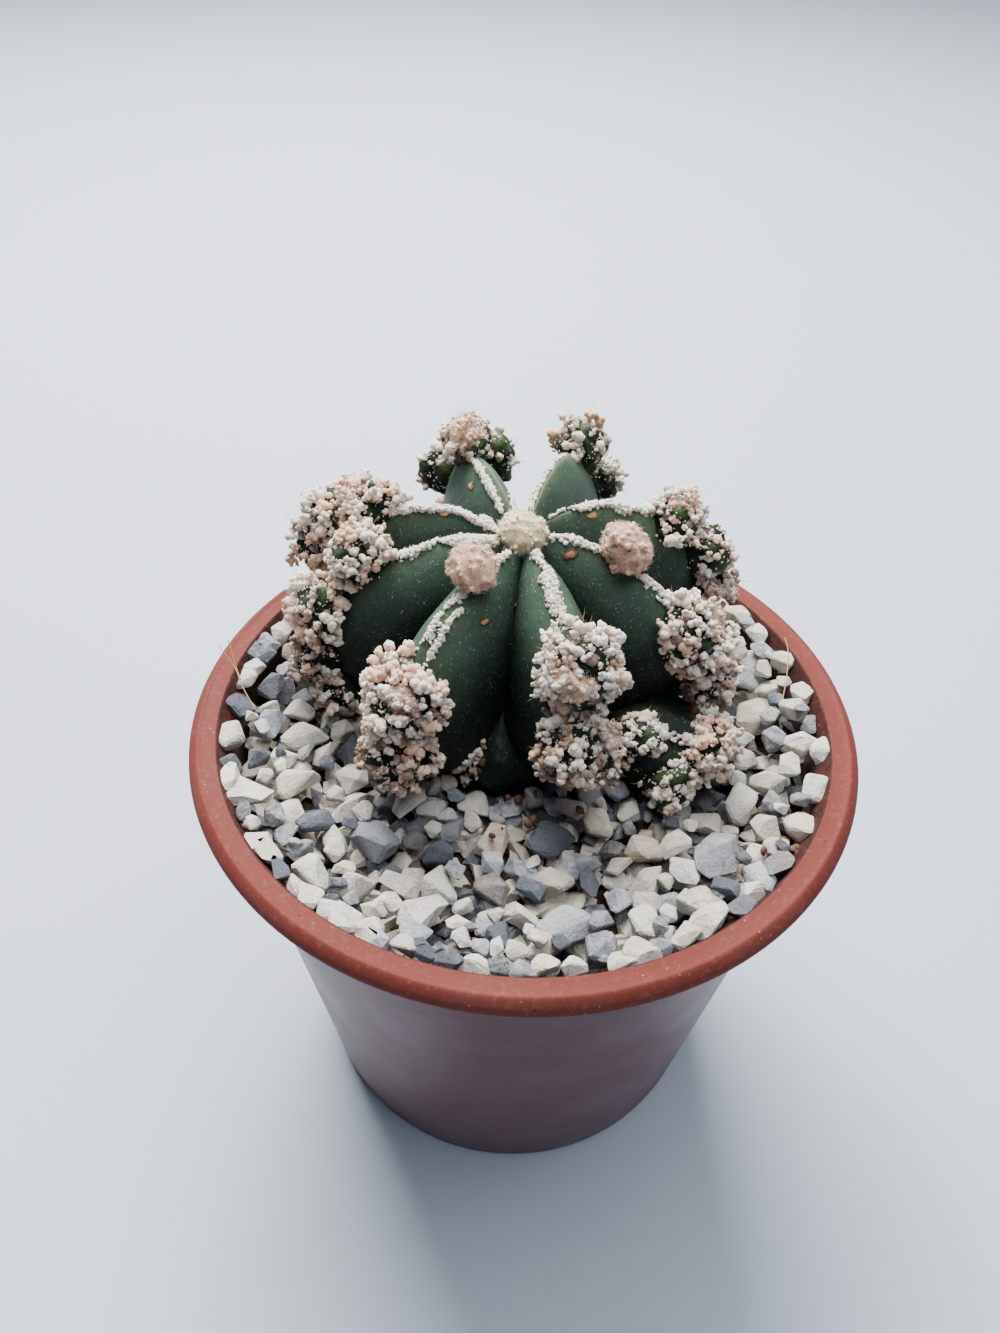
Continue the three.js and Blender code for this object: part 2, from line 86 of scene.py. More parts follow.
class Value:
    """A value or colour in a shader: one output socket, with arithmetic that adds nodes."""

    def __init__(self, recipe: "Recipe", socket: bpy.types.NodeSocket) -> None:
        """Keeps the recipe that the socket belongs to."""
        self.recipe = recipe
        self.socket = socket

    def _math(self, operation: str, *operands: Union["Value", Number]) -> "Value":
        """One Math node on the operands, in their order."""
        inputs = dict(enumerate(operands))
        return self.recipe.node("ShaderNodeMath", {"operation": operation}, inputs)

    def __add__(self, other: Union["Value", Number]) -> "Value":
        """self + other."""
        return self._math("ADD", self, other)

    __radd__ = __add__

    def __sub__(self, other: Union["Value", Number]) -> "Value":
        """self - other."""
        return self._math("SUBTRACT", self, other)

    def __rsub__(self, other: Number) -> "Value":
        """other - self."""
        return self._math("SUBTRACT", other, self)

    def __mul__(self, other: Union["Value", Number]) -> "Value":
        """self * other."""
        return self._math("MULTIPLY", self, other)

    __rmul__ = __mul__

    def __pow__(self, other: Number) -> "Value":
        """self to the power of other."""
        return self._math("POWER", self, other)

    def most(self, other: Union["Value", Number]) -> "Value":
        """The larger of self and other."""
        return self._math("MAXIMUM", self, other)

    def ramp(self, low: float, high: float) -> "Value":
        """A smooth step from 0 at low to 1 at high; with low above high it falls."""
        start, end = (low, high) if low < high else (high, low)
        settings = {"interpolation_type": "SMOOTHSTEP", "clamp": True}
        step = self.recipe.node(
            "ShaderNodeMapRange", settings, {"Value": self, "From Min": start, "From Max": end}
        )
        return step if low < high else 1 - step


class Recipe:
    """A node-based material in the making."""

    def __init__(self, name: str) -> None:
        """Starts an empty material with the name."""
        self.material = bpy.data.materials.new(name)
        self.material.use_nodes = True
        self.tree = self.material.node_tree
        self.tree.nodes.clear()
        self.place = self._place_in_mm()

    def node(
        self,
        kind: str,
        settings: Optional[dict] = None,
        inputs: Optional[dict] = None,
        output: Union[int, str] = 0,
    ) -> Value:
        """Adds one node.

        Args:
            kind: the node's type.
            settings: properties to set first.
            inputs: values or links, by socket name or number.
            output: the output socket that is wanted.

        Returns:
            The output as a Value.
        """
        made = self.tree.nodes.new(kind)
        for name, value in (settings or {}).items():
            setattr(made, name, value)
        for key, value in (inputs or {}).items():
            if isinstance(value, Value):
                self.tree.links.new(value.socket, made.inputs[key])
            else:
                made.inputs[key].default_value = value
        return Value(self, made.outputs[output])

    def _place_in_mm(self) -> Value:
        """The place on the piece in millimetres."""
        place = self.node("ShaderNodeTexCoord", output="Object")
        return self.scaled(place, 1 / MM)

    def scaled(self, vector: Value, factor: Union[float, Triple]) -> Value:
        """The vector times a number, or times one number for each axis."""
        by = factor if isinstance(factor, tuple) else (factor, factor, factor)
        return self.node("ShaderNodeVectorMath", {"operation": "MULTIPLY"}, {0: vector, 1: by})

    def height(self) -> Value:
        """The height above the pot's underside in millimetres."""
        return self.node("ShaderNodeSeparateXYZ", None, {0: self.place}, 2)

    def radius(self) -> Value:
        """The distance from the pot's axis in millimetres."""
        flat = self.scaled(self.place, (1.0, 1.0, 0.0))
        return self.node("ShaderNodeVectorMath", {"operation": "LENGTH"}, {0: flat}, "Value")

    def noise(self, size: float, detail: float = 3, rough: float = 0.55, at: Optional[Value] = None) -> Value:
        """Noise about 0.5, with lumps of the given size in millimetres."""
        inputs = {"Vector": at or self.place, "Scale": 1 / size, "Detail": detail, "Roughness": rough}
        return self.node("ShaderNodeTexNoise", None, inputs)

    def cells(self, size: float, feature: str = "F1", output: str = "Distance") -> Value:
        """Cells of the given size in millimetres: the distance from their middles, or their colour."""
        inputs = {"Vector": self.place, "Scale": 1 / size}
        return self.node("ShaderNodeTexVoronoi", {"feature": feature}, inputs, output)

    def attribute(self, name: str) -> list[Value]:
        """The three channels of a colour attribute."""
        colour = self.node("ShaderNodeAttribute", {"attribute_name": name}, output="Color")
        split = self.node("ShaderNodeSeparateColor", None, {0: colour})
        outputs = split.socket.node.outputs
        return [Value(self, outputs[channel]) for channel in range(3)]

    def mix(
        self, first: Union[Value, Colour], second: Union[Value, Colour], share: Union[Value, float]
    ) -> Value:
        """Blends two colours: share 0 gives the first."""
        inputs: dict = {0: share}
        for key, colour in ((6, first), (7, second)):
            inputs[key] = colour if isinstance(colour, Value) else (*colour, 1)
        return self.node("ShaderNodeMix", {"data_type": "RGBA"}, inputs, 2)

    def dimmed(self, colour: Value, factor: Value) -> Value:
        """A colour times a grey factor."""
        grey = self.node("ShaderNodeCombineColor", None, {0: factor, 1: factor, 2: factor})
        settings = {"data_type": "RGBA", "blend_type": "MULTIPLY"}
        return self.node("ShaderNodeMix", settings, {0: 1.0, 6: colour, 7: grey}, 2)

    def bump(self, height: Value, depth: float, under: Optional[Value] = None) -> Value:
        """A bumped normal from a height of 0 to 1 that stands for the depth in millimetres."""
        inputs: dict = {"Height": height, "Distance": depth * MM, "Strength": 1.0}
        if under is not None:
            inputs["Normal"] = under
        return self.node("ShaderNodeBump", None, inputs)

    def finished(self, **sockets: Union[Value, float, tuple]) -> bpy.types.Material:
        """Adds the surface shader and the output.

        Args:
            sockets: the surface shader's inputs, with _ for a space in their names.

        Returns:
            The material.
        """
        inputs = {name.replace("_", " "): value for name, value in sockets.items()}
        surface = self.node("ShaderNodeBsdfPrincipled", None, inputs)
        self.node_output(surface)
        return self.material

    def node_output(self, surface: Value) -> None:
        """Links the surface shader to the material's output."""
        end = self.tree.nodes.new("ShaderNodeOutputMaterial")
        self.tree.links.new(surface.socket, end.inputs["Surface"])


# Finishes


@dataclass(frozen=True)
class PotPlastic:
    """Satin moulded plastic, terracotta coloured, with fine dust and light rubbing; the wall under the lip
    carries a painted cool shade and reflection, and the inside near the rim is darkened by soil stain and
    painted shade.

    The pairs are where a smooth step starts and ends, in millimetres: heights under the lip, radii and
    heights at the rim's inner edge, radii of the inner wall less its slope, and heights of the part darkened
    by soil stain and painted shade.
    """

    colour: Colour = (0.122, 0.028, 0.022)
    faded: Colour = (0.134, 0.038, 0.032)
    # painted cool shade and reflection for the wall under the lip
    painted_cool_shade: Colour = (0.1, 0.054, 0.07)
    speck: Colour = (0.03, 0.015, 0.012)
    # soil stain and painted shade for the inside near the rim
    soil_stain_and_shade: Colour = (0.032, 0.014, 0.013)
    dust: Colour = (0.5, 0.4, 0.34)
    under_lip: Pair = (63.6, 62.2)
    edge_radii: Pair = (39.15, 38.95)
    edge_heights: Pair = (63.4, 63.6)
    slope: float = 0.1407
    inner_radii: Pair = (29.2, 28.9)
    stain_and_shade_heights: Pair = (50.0, 56.0)

    def build(self) -> bpy.types.Material:
        """The material."""
        r = Recipe("pot_plastic")
        cloud = r.noise(14, 3).ramp(0.35, 0.7)
        colour = r.mix(self.colour, self.faded, cloud * 0.7)
        below_lip = r.height().ramp(*self.under_lip)
        # painted shade and reflection: the wall under the lip is blended towards a cool colour that stands
        # for bluish light on its shaded side
        colour = r.mix(colour, self.painted_cool_shade, below_lip * 0.5)
        near_rim = r.radius().ramp(*self.edge_radii) * r.height().ramp(*self.edge_heights)
        inner_wall = (r.radius() - r.height() * self.slope).ramp(*self.inner_radii)
        inner_wall = inner_wall * r.height().ramp(*self.stain_and_shade_heights)
        # soil stain and painted shade: the inside near the rim and the inner wall are darkened where the
        # stones shade them
        inside = near_rim.most(inner_wall)
        colour = r.mix(colour, self.soil_stain_and_shade, inside * (0.7 + r.noise(2.5, 4).ramp(0.3, 0.6) * 0.25))
        specks = r.cells(1.1).ramp(0.14, 0.04) * r.noise(4, 2).ramp(0.42, 0.66)
        film = r.noise(0.8, 4, 0.7).ramp(0.5, 0.85) * 0.14
        dark = r.cells(2.6).ramp(0.06, 0.03) * r.noise(6, 2).ramp(0.45, 0.6)
        colour = r.mix(colour, self.speck, dark)
        colour = r.mix(colour, self.dust, (specks * 0.4 + film * 0.8).most(0))
        rough = 0.52 + cloud * 0.1 + specks * 0.3 + r.noise(0.5, 3) * 0.08
        grain = r.bump(r.noise(0.35, 3, 0.6), 0.014)
        ripple = r.bump(r.noise(9, 1), 0.12, grain)
        return r.finished(
            Base_Color=colour,
            Roughness=rough,
            Normal=ripple,
            Specular_IOR_Level=0.06,
            Coat_Weight=below_lip * (0.8 - cloud * 0.2),
            Coat_Roughness=0.36,
        )


class StoneKind(Enum):
    """The two sorts of stone chip."""

    PALE = "pale"
    SLATE = "slate"


@dataclass(frozen=True)
class StoneChalk:
    """Dry chalky stone with fine grains, pits and stains; grains and pits are painted darker where their bump
    is low, as shade. The tint's channels are shade, warmth and dust.
    """

    kind: StoneKind
    colour: Colour
    other: Colour
    warm: Colour
    dust: Colour

    def build(self) -> bpy.types.Material:
        """The material."""
        r = Recipe(f"stone_{self.kind.value}")
        shade, warmth, dusty = r.attribute("tint")
        patches = r.noise(2.4, 4, 0.6)
        colour = r.mix(self.colour, self.other, (patches + shade * 0.7 - 0.35).ramp(0.42, 0.75))
        colour = r.mix(colour, self.warm, warmth * r.noise(1.6, 3).ramp(0.3, 0.7))
        coat = (r.noise(1.1, 5, 0.65) + dusty * 0.5 - 0.25).ramp(0.45, 0.7)
        colour = r.mix(colour, self.dust, coat * 0.6)
        grains = r.cells(0.35).ramp(0.0, 0.6)
        pits = r.noise(0.5, 4, 0.7).ramp(0.3, 0.45)
        # painted shade: grains and pits are darker where their bump is low
        colour = r.dimmed(colour, 0.62 + shade * 0.3 + grains * 0.08 + pits * 0.1)
        height = r.noise(0.9, 6, 0.68) * 0.8 + grains * 0.12 + pits * 0.2
        normal = r.bump(height, 0.32)
        return r.finished(Base_Color=colour, Roughness=0.88, Normal=normal, Specular_IOR_Level=0.25)


PALE_CHALK = StoneChalk(
    StoneKind.PALE,
    colour=(0.55, 0.525, 0.455),
    other=(0.41, 0.405, 0.375),
    warm=(0.5, 0.36, 0.26),
    dust=(0.6, 0.585, 0.54),
)
SLATE_CHALK = StoneChalk(
    StoneKind.SLATE,
    colour=(0.097, 0.108, 0.13),
    other=(0.212, 0.228, 0.252),
    warm=(0.25, 0.21, 0.18),
    dust=(0.4, 0.41, 0.42),
)


@dataclass(frozen=True)
class DampSoil:
    """Dark crumbly potting soil."""

    colour: Colour = (0.035, 0.02, 0.013)
    light: Colour = (0.11, 0.062, 0.036)

    def build(self) -> bpy.types.Material:
        """The material."""
        r = Recipe("damp_soil")
        crumbs = r.noise(0.9, 5, 0.7)
        colour = r.mix(self.colour, self.light, crumbs.ramp(0.45, 0.72))
        normal = r.bump(crumbs + r.cells(0.6) * 0.5, 0.5)
        return r.finished(Base_Color=colour, Roughness=0.93, Normal=normal, Specular_IOR_Level=0.2)


@dataclass(frozen=True)
class StemSkin:
    """Dark blue-green satin skin with painted light: lighter and hazier towards the top and the crests,
    lighter olive on the crests as a painted highlight, and a painted dark line in the grooves. The tint's
    channels are crest, height and young growth.
    """

    # The first two colours are the ends of painted light and shade; the olive is a painted highlight on the
    # crests, the fold colour a painted dark line in the grooves, and the pale haze a painted sheen towards
    # the top.
    deep: Colour = (0.0022, 0.0075, 0.0048)
    lit: Colour = (0.042, 0.075, 0.053)
    olive: Colour = (0.085, 0.12, 0.05)
    fold: Colour = (0.004, 0.008, 0.006)
    painted_sheen: Colour = (0.16, 0.22, 0.19)
    young: Colour = (0.06, 0.1, 0.03)
    fleck: Colour = (0.55, 0.6, 0.55)
    scar: Colour = (0.2, 0.1, 0.045)

    def build(self) -> bpy.types.Material:
        """The material."""
        r = Recipe("stem_skin")
        crest, height, growth = r.attribute("tint")
        cloud = r.noise(7, 3)
        # painted light: the skin is lighter towards the top and the crests, darker low down and in the flanks
        lift = (crest * 0.4 + height * 1.1 + cloud * 0.4 - 0.5).ramp(0.35, 1.13)
        colour = r.mix(self.deep, self.lit, lift)
        # painted shade: a dark line along the grooves
        colour = r.mix(colour, self.fold, crest.ramp(0.11, 0.02) * 0.85)
        # painted highlight: lighter olive patches on the crests
        crest_highlight = crest.ramp(0.72, 1.0) * r.noise(4, 3).ramp(0.35, 0.7)
        colour = r.mix(colour, self.olive, crest_highlight * 0.7)
        fresh = growth * r.noise(1.5, 3).ramp(0.3, 0.65)
        colour = r.mix(colour, self.young, fresh)
        marks = r.noise(1.7, 5, 0.7).ramp(0.72, 0.78)
        colour = r.mix(colour, self.scar, marks * growth.ramp(0.2, 0.6) * 0.6)
        mottle = r.noise(0.32, 4, 0.75)
        # painted sheen: a pale haze that grows towards the top
        colour = r.mix(colour, self.painted_sheen, mottle.ramp(0.48, 0.78) * (0.03 + height * 0.34))
        fine = r.cells(0.45).ramp(0.34, 0.1) * r.noise(0.9, 3).ramp(0.45, 0.66)
        coarse = r.cells(1.5).ramp(0.09, 0.04) * r.noise(1.9, 2).ramp(0.48, 0.62)
        flecks = fine * (0.12 + height * 0.16) + coarse * 0.38
        colour = r.mix(colour, self.fleck, flecks)
        grain = r.bump(r.noise(0.3, 4, 0.6) + flecks * 0.8, 0.03)
        swell = r.bump(r.noise(3.2, 3), 0.22, grain)
        rough = 0.46 + cloud * 0.12 + mottle * 0.1 + flecks * 0.2
        return r.finished(Base_Color=colour, Roughness=rough, Normal=swell, Specular_IOR_Level=0.17)


@dataclass(frozen=True)
class PlantWool:
    """Plant wool, from white felt to fluff, painted darker in the low spots of its bump as shade. The tint's
    channels are pink, age and shade; age and shade also carry painted shade in hollows and on undersides.
    """

    name: str = "plant_wool"
    felt: Colour = (0.98, 0.94, 0.86)
    white: Colour = (0.96, 0.99, 1.0)
    cream: Colour = (0.95, 0.78, 0.58)
    pink: Colour = (1.0, 0.62, 0.43)
    # brown of old wool; also painted as shade in hollows and on undersides
    aged: Colour = (0.2, 0.1, 0.06)
    softness: float = 0.2
    least: float = 0.78
    # how much darker the low spots of the curls are painted, as shade
    pits: float = 0.18

    def build(self) -> bpy.types.Material:
        """The material."""
        r = Recipe(self.name)
        pink, age, shade = r.attribute("tint")
        tufts = r.noise(0.7, 4, 0.65)
        colour = r.mix(self.felt, self.cream, (tufts + shade * 0.4 - 0.2).ramp(0.4, 0.75) * 0.6)
        colour = r.mix(colour, self.white, pink.ramp(0.0, -0.25))
        colour = r.mix(colour, self.pink, (pink + tufts * 0.4 - 0.2).ramp(0.1, 0.95))
        # brown age stain, which also carries painted shade in hollows and on undersides
        grime_and_shade = (age + r.noise(1.3, 4, 0.7) * 0.9 - 0.55).ramp(0.15, 0.75)
        colour = r.mix(colour, self.aged, grime_and_shade * 0.8)
        threads = r.noise(0.14, 3, 0.7, r.scaled(r.place, (1.0, 1.0, 0.45)))
        curls = r.noise(0.4, 4, 0.75)
        # painted shade: curls and threads are darker where their bump is low
        colour = r.dimmed(colour, curls.ramp(0.36, 0.5) * self.pits + (1.01 - self.pits))
        fine = threads.ramp(0.25, 0.6) * (0.96 - self.least) * 0.5
        colour = r.dimmed(colour, self.least + fine + shade * 0.14)
        height = threads * 0.5 + r.cells(0.28).ramp(0.0, 0.5) * 0.5 + curls * 1.6
        normal = r.bump(height, 0.17)
        return r.finished(
            Base_Color=colour,
            Roughness=0.95,
            Normal=normal,
            Specular_IOR_Level=0.15,
            Sheen_Weight=0.35,
            Sheen_Roughness=0.5,
            Subsurface_Weight=self.softness,
            Subsurface_Radius=(1.0, 0.75, 0.55),
            Subsurface_Scale=0.6 * MM,
        )


@dataclass(frozen=True)
class DryHusk:
    """Straw coloured dry plant matter with brown ends. The tint's first channel is how brown it is."""

    name: str = "dry_husk"
    straw: Colour = (0.5, 0.31, 0.13)
    brown: Colour = (0.09, 0.035, 0.016)

    def build(self) -> bpy.types.Material:
        """The material."""
        r = Recipe(self.name)
        browned, _, shade = r.attribute("tint")
        spots = r.noise(0.4, 4, 0.7)
        colour = r.mix(self.straw, self.brown, (browned + spots * 0.5 - 0.2).ramp(0.15, 0.85))
        colour = r.dimmed(colour, 0.75 + shade * 0.35)
        normal = r.bump(spots, 0.08)
        return r.finished(Base_Color=colour, Roughness=0.6 + spots * 0.2, Normal=normal)


@dataclass(frozen=True)
class PaleFloor:
    """The plain pale floor that the pot stands on."""

    colour: Colour = (0.4, 0.46, 0.545)

    def build(self) -> bpy.types.Material:
        """The material."""
        r = Recipe("pale_floor")
        colour = r.mix(self.colour, tuple(0.97 * c for c in self.colour), r.noise(60, 2))
        return r.finished(Base_Color=colour, Roughness=0.7)


# Small shapes and heaps of them


def waves(places: Array, size: float, seed: int, count: int = 9) -> Array:
    """Smooth lumps in space.

    Args:
        places: points, one in a row.
        size: the size of a lump.
        seed: picks the pattern.
        count: how many waves are added up.

    Returns:
        One value for each point, mostly between -1 and 1.
    """
    draw = np.random.default_rng(seed)
    ways = unit(draw.normal(size=(count, 3))) * (draw.uniform(0.7, 1.5, (count, 1)) * math.pi / size)
    return np.sin(places @ ways.T + draw.uniform(0, 2 * math.pi, count)).sum(-1) * math.sqrt(1 / count)


def unit(vectors: Array) -> Array:
    """The vectors at length 1."""
    return vectors / np.maximum(np.linalg.norm(vectors, axis=-1, keepdims=True), 1e-9)


def smooth(value: Union[float, Array], low: float, high: float) -> Union[float, Array]:
    """A smooth step from 0 at low to 1 at high."""
    t = np.clip((value - low) / (high - low), 0, 1)
    return t * t * (3 - 2 * t)


def spread_ways(count: int, draw: Chance, shake: float = 0.25) -> Array:
    """Directions spread evenly over a ball, shaken a little."""
    i = np.arange(count)
    rise = 1 - 2 * (i + 0.5) / count
    flat = np.sqrt(1 - rise**2)
    ways = np.stack([flat * np.cos(i * GOLDEN), flat * np.sin(i * GOLDEN), rise], -1)
    turn = unit(draw.normal(size=(3, 3)))
    ways = ways @ np.linalg.qr(turn)[0]
    return unit(ways + draw.normal(size=ways.shape) * shake * 2 / math.sqrt(count))


def standing(ways: Array, draw: Chance) -> Array:
    """Axes for shapes whose own z stands along each way, turned at random about it: (k, 3, 3), in columns."""
    loose = draw.normal(size=ways.shape)
    across = unit(np.cross(ways, loose))
    return np.stack([across, np.cross(ways, across), ways], -1)


def tints_of(
    count: int, draw: Chance, *channels: Union[float, Pair]
) -> Array:
    """Tints for many shapes.

    Args:
        count: how many shapes.
        draw: the source of chance.
        channels: for each channel, one value for them all, or the lowest and the highest.

    Returns:
        The tints, (count, 3).
    """
    picked = [draw.uniform(*c, count) if isinstance(c, tuple) else np.full(count, float(c)) for c in channels]
    return np.stack(picked, -1)


def in_order(bm: bmesh.types.BMesh) -> bmesh.types.BMesh:
    """Builds a bmesh anew with its faces in a set order: the operators leave them in another each run.

    Args:
        bm: the shape, which is freed.

    Returns:
        The same shape, each face begun at its first corner and the faces sorted.
    """
    bm.verts.index_update()
    rings = []
    for face in bm.faces:
        ring = [corner.index for corner in face.verts]
        first = ring.index(min(ring))
        rings.append(ring[first:] + ring[:first])
    fresh = bmesh.new()
    corners = [fresh.verts.new(corner.co) for corner in bm.verts]
    for ring in sorted(rings):
        fresh.faces.new([corners[k] for k in ring])
    bm.free()
    return fresh


@dataclass
class Form:
    """A small closed shape, as its corners and its triangles."""

    corners: Array
    faces: Array

    @classmethod
    def of(cls, bm: bmesh.types.BMesh) -> "Form":
        """Takes the shape out of a bmesh and frees it."""
        bm = in_order(bm)
        bmesh.ops.triangulate(bm, faces=bm.faces)
        bm.verts.index_update()
        corners = np.array([v.co for v in bm.verts], float)
        faces = np.array([[v.index for v in face.verts] for face in bm.faces], int)
        bm.free()
        return cls(corners, faces)

    @classmethod
    def ball(cls, subdivisions: int) -> "Form":
        """A ball of radius 1: 20, 80 or 320 faces with 1, 2 or 3 subdivisions."""
        bm = bmesh.new()
        bmesh.ops.create_icosphere(bm, subdivisions=subdivisions, radius=1)
        return cls.of(bm)

    @classmethod
    def grain(cls) -> "Form":
        """A grain of radius 1 with eight faces."""
        bm = bmesh.new()
        bmesh.ops.create_uvsphere(bm, u_segments=4, v_segments=2, radius=1)
        return cls.of(bm)

    @classmethod
    def thorn(cls, sides: int = 3) -> "Form":
        """A cone from a base of radius 1 at 0 to its tip at 1."""
        bm = bmesh.new()
        bmesh.ops.create_cone(
            bm, cap_ends=True, segments=sides, radius1=1, radius2=0, depth=1,
            matrix=Matrix.Translation((0, 0, 0.5)),
        )
        return cls.of(bm)


class Heap:
    """Many small shapes that become one piece."""

    def __init__(self) -> None:
        """Starts empty."""
        self.corners: list[Array] = []
        self.faces: list[Array] = []
        self.tints: list[Array] = []
        self.size = 0

    def add(self, form: Form, tint: Array) -> None:
        """Adds a shape as it is.

        Args:
            form: the shape, in place.
            tint: three values, or three for each corner.
        """
        self.corners.append(form.corners)
        self.faces.append(form.faces + self.size)
        self.tints.append(np.broadcast_to(tint, (len(form.corners), 3)))
        self.size += len(form.corners)

    def scatter(
        self,
        form: Form,
        places: Array,
        axes: Array,
        tints: Array,
        rough: float = 0,
        grain: float = 1,
    ) -> None:
        """Adds a copy of the shape at each place.

        Args:
            form: the shape.
            places: where its origin goes, (k, 3).
            axes: its axes with their lengths, in columns, (k, 3, 3).
            tints: (k, 3), or (k, n, 3) with a tint for each corner.
            rough: how far its corners are pushed in and out.
            grain: the size of those lumps.
        """
        if not len(places):
            return
        spots = np.einsum("kij,nj->kni", axes, form.corners)
        if rough:
            placed = (spots + places[:, None]).reshape(-1, 3)
            push = waves(placed, grain, len(places)).reshape(spots.shape[:2])
            spots = spots + unit(spots) * push[..., None] * rough
        spots = spots + places[:, None]
        count = len(form.corners)
        faces = form.faces[None] + (np.arange(len(places)) * count)[:, None, None]
        if tints.ndim == 2:
            tints = np.repeat(tints[:, None], count, 1)
        self.add(Form(spots.reshape(-1, 3), faces.reshape(-1, 3)), tints.reshape(-1, 3))

    def merged(self) -> Form:
        """All of it as one shape."""
        return Form(np.concatenate(self.corners), np.concatenate(self.faces))

    def mesh(self, name: str) -> bpy.types.Mesh:
        """The heap as a mesh in metres, with its tint attribute."""
        whole = self.merged()
        mesh = bpy.data.meshes.new(name)
        mesh.from_pydata((whole.corners * MM).tolist(), [], whole.faces.tolist())
        tint = np.concatenate(self.tints)
        rgba = np.concatenate([np.clip(tint, 0, 1), np.ones((len(tint), 1))], 1)
        layer = mesh.color_attributes.new(name="tint", type="FLOAT_COLOR", domain="POINT")
        layer.data.foreach_set("color", rgba.astype(np.float32).ravel())
        return mesh


def finish_piece(
    mesh: bpy.types.Mesh,
    material: bpy.types.Material,
    replaces: Sequence[str] = (),
    soft: bool = True,
) -> bpy.types.Object:
    """Makes a mesh a piece of the plant.

    Args:
        mesh: the mesh in metres, in place.
        material: its finish.
        replaces: the CAD nodes that it stands for.
        soft: whether its faces are shaded smooth.

    Returns:
        The object.
    """
    if soft:
        mesh.polygons.foreach_set("use_smooth", [True] * len(mesh.polygons))
    mesh.materials.append(material)
    mesh.update()
    piece = bpy.data.objects.new(mesh.name, mesh)
    bpy.context.scene.collection.objects.link(piece)
    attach(piece, BODY)
    if replaces:
        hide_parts(*replaces)
    log.info("%-22s %7d triangles", mesh.name, sum(len(p.vertices) - 2 for p in mesh.polygons))
    return piece


# Camera and room


@dataclass(frozen=True)
class PhotoView:
    """The camera, at the photograph's viewing angle."""

    place: Triple = (-3.29, -98.06, 164.17)
    pitch: float = 42.89
    roll: float = 1.73
    focal_pixels: float = 1074
    sensor: float = 36

    def turn(self) -> Matrix:
        """The camera's rotation in the frame."""
        tilt = Matrix.Rotation(math.radians(90 - self.pitch), 3, "X")
        return tilt @ Matrix.Rotation(math.radians(self.roll), 3, "Z")

    def build(self) -> None:
        """Adds the camera."""
        data = bpy.data.cameras.new("photo_camera")
        data.sensor_fit = "AUTO"
        data.sensor_width = self.sensor
        data.lens = self.focal_pixels / PHOTO_HEIGHT * self.sensor
        data.clip_start = 0.005
        camera = bpy.data.objects.new("photo_camera", data)
        camera.matrix_world = Matrix.Translation(Vector(self.place) * MM) @ self.turn().to_4x4()
        bpy.context.scene.collection.objects.link(camera)
        bpy.context.scene.camera = camera

    def ray(self, across: float, down: float) -> tuple[Array, Array]:
        """The line of sight through a pixel of the photograph: its start and its direction."""
        x = (across - PHOTO_WIDTH / 2) / self.focal_pixels
        y = (PHOTO_HEIGHT / 2 - down) / self.focal_pixels
        way = self.turn() @ Vector((x, y, -1)).normalized()
        return np.array(self.place), np.array(way)

    def at_height(self, across: float, down: float, height: float) -> Array:
        """The place at a height that lies behind a pixel of the photograph."""
        start, way = self.ray(across, down)
        return start + way * (height - start[2]) / way[2]


@dataclass(frozen=True)
class Lamp:
    """A soft square lamp that looks at the plant."""

    name: str
    place: Triple
    size: float
    power: float
    colour: Colour

    def build(self, target: Vector) -> None:
        """Adds the lamp, aimed at the target."""
        data = bpy.data.lights.new(self.name, "AREA")
        data.shape = "SQUARE"
        data.size = self.size
        data.energy = self.power
        data.color = self.colour
        lamp = bpy.data.objects.new(self.name, data)
        lamp.location = self.place
        lamp.rotation_euler = (target - Vector(self.place)).to_track_quat("-Z", "Y").to_euler()
        bpy.context.scene.collection.objects.link(lamp)


@dataclass(frozen=True)
class Room:
    """A plain pale floor, a pale surround and soft light from above and behind."""

    floor_size: float = 6.0
    surround: Colour = (0.42, 0.6, 1.0)
    surround_power: float = 0.12
    lamps: tuple[Lamp, ...] = (
        Lamp("sky_behind", (-0.12, 0.42, 0.62), 0.5, 25.5, (1.0, 0.97, 0.93)),
        Lamp("sky_above", (0.15, -0.05, 0.8), 0.6, 6.6, (0.97, 0.98, 1.0)),
    )

    def build(self) -> None:
        """Adds the floor, the surround and the lamps."""
        bm = bmesh.new()
        bmesh.ops.create_grid(bm, x_segments=1, y_segments=1, size=self.floor_size / 2)
        mesh = bpy.data.meshes.new("floor")
        bm.to_mesh(mesh)
        bm.free()
        mesh.materials.append(PaleFloor().build())
        floor = bpy.data.objects.new("floor", mesh)
        bpy.context.scene.collection.objects.link(floor)
        world = bpy.data.worlds.new("pale_surround")
        world.use_nodes = True
        sky = world.node_tree.nodes["Background"]
        sky.inputs["Color"].default_value = (*self.surround, 1)
        sky.inputs["Strength"].default_value = self.surround_power
        bpy.context.scene.world = world
        target = (CAD_BOX[0] + CAD_BOX[1]) / 2
        for lamp in self.lamps:
            lamp.build(target)


# Pot


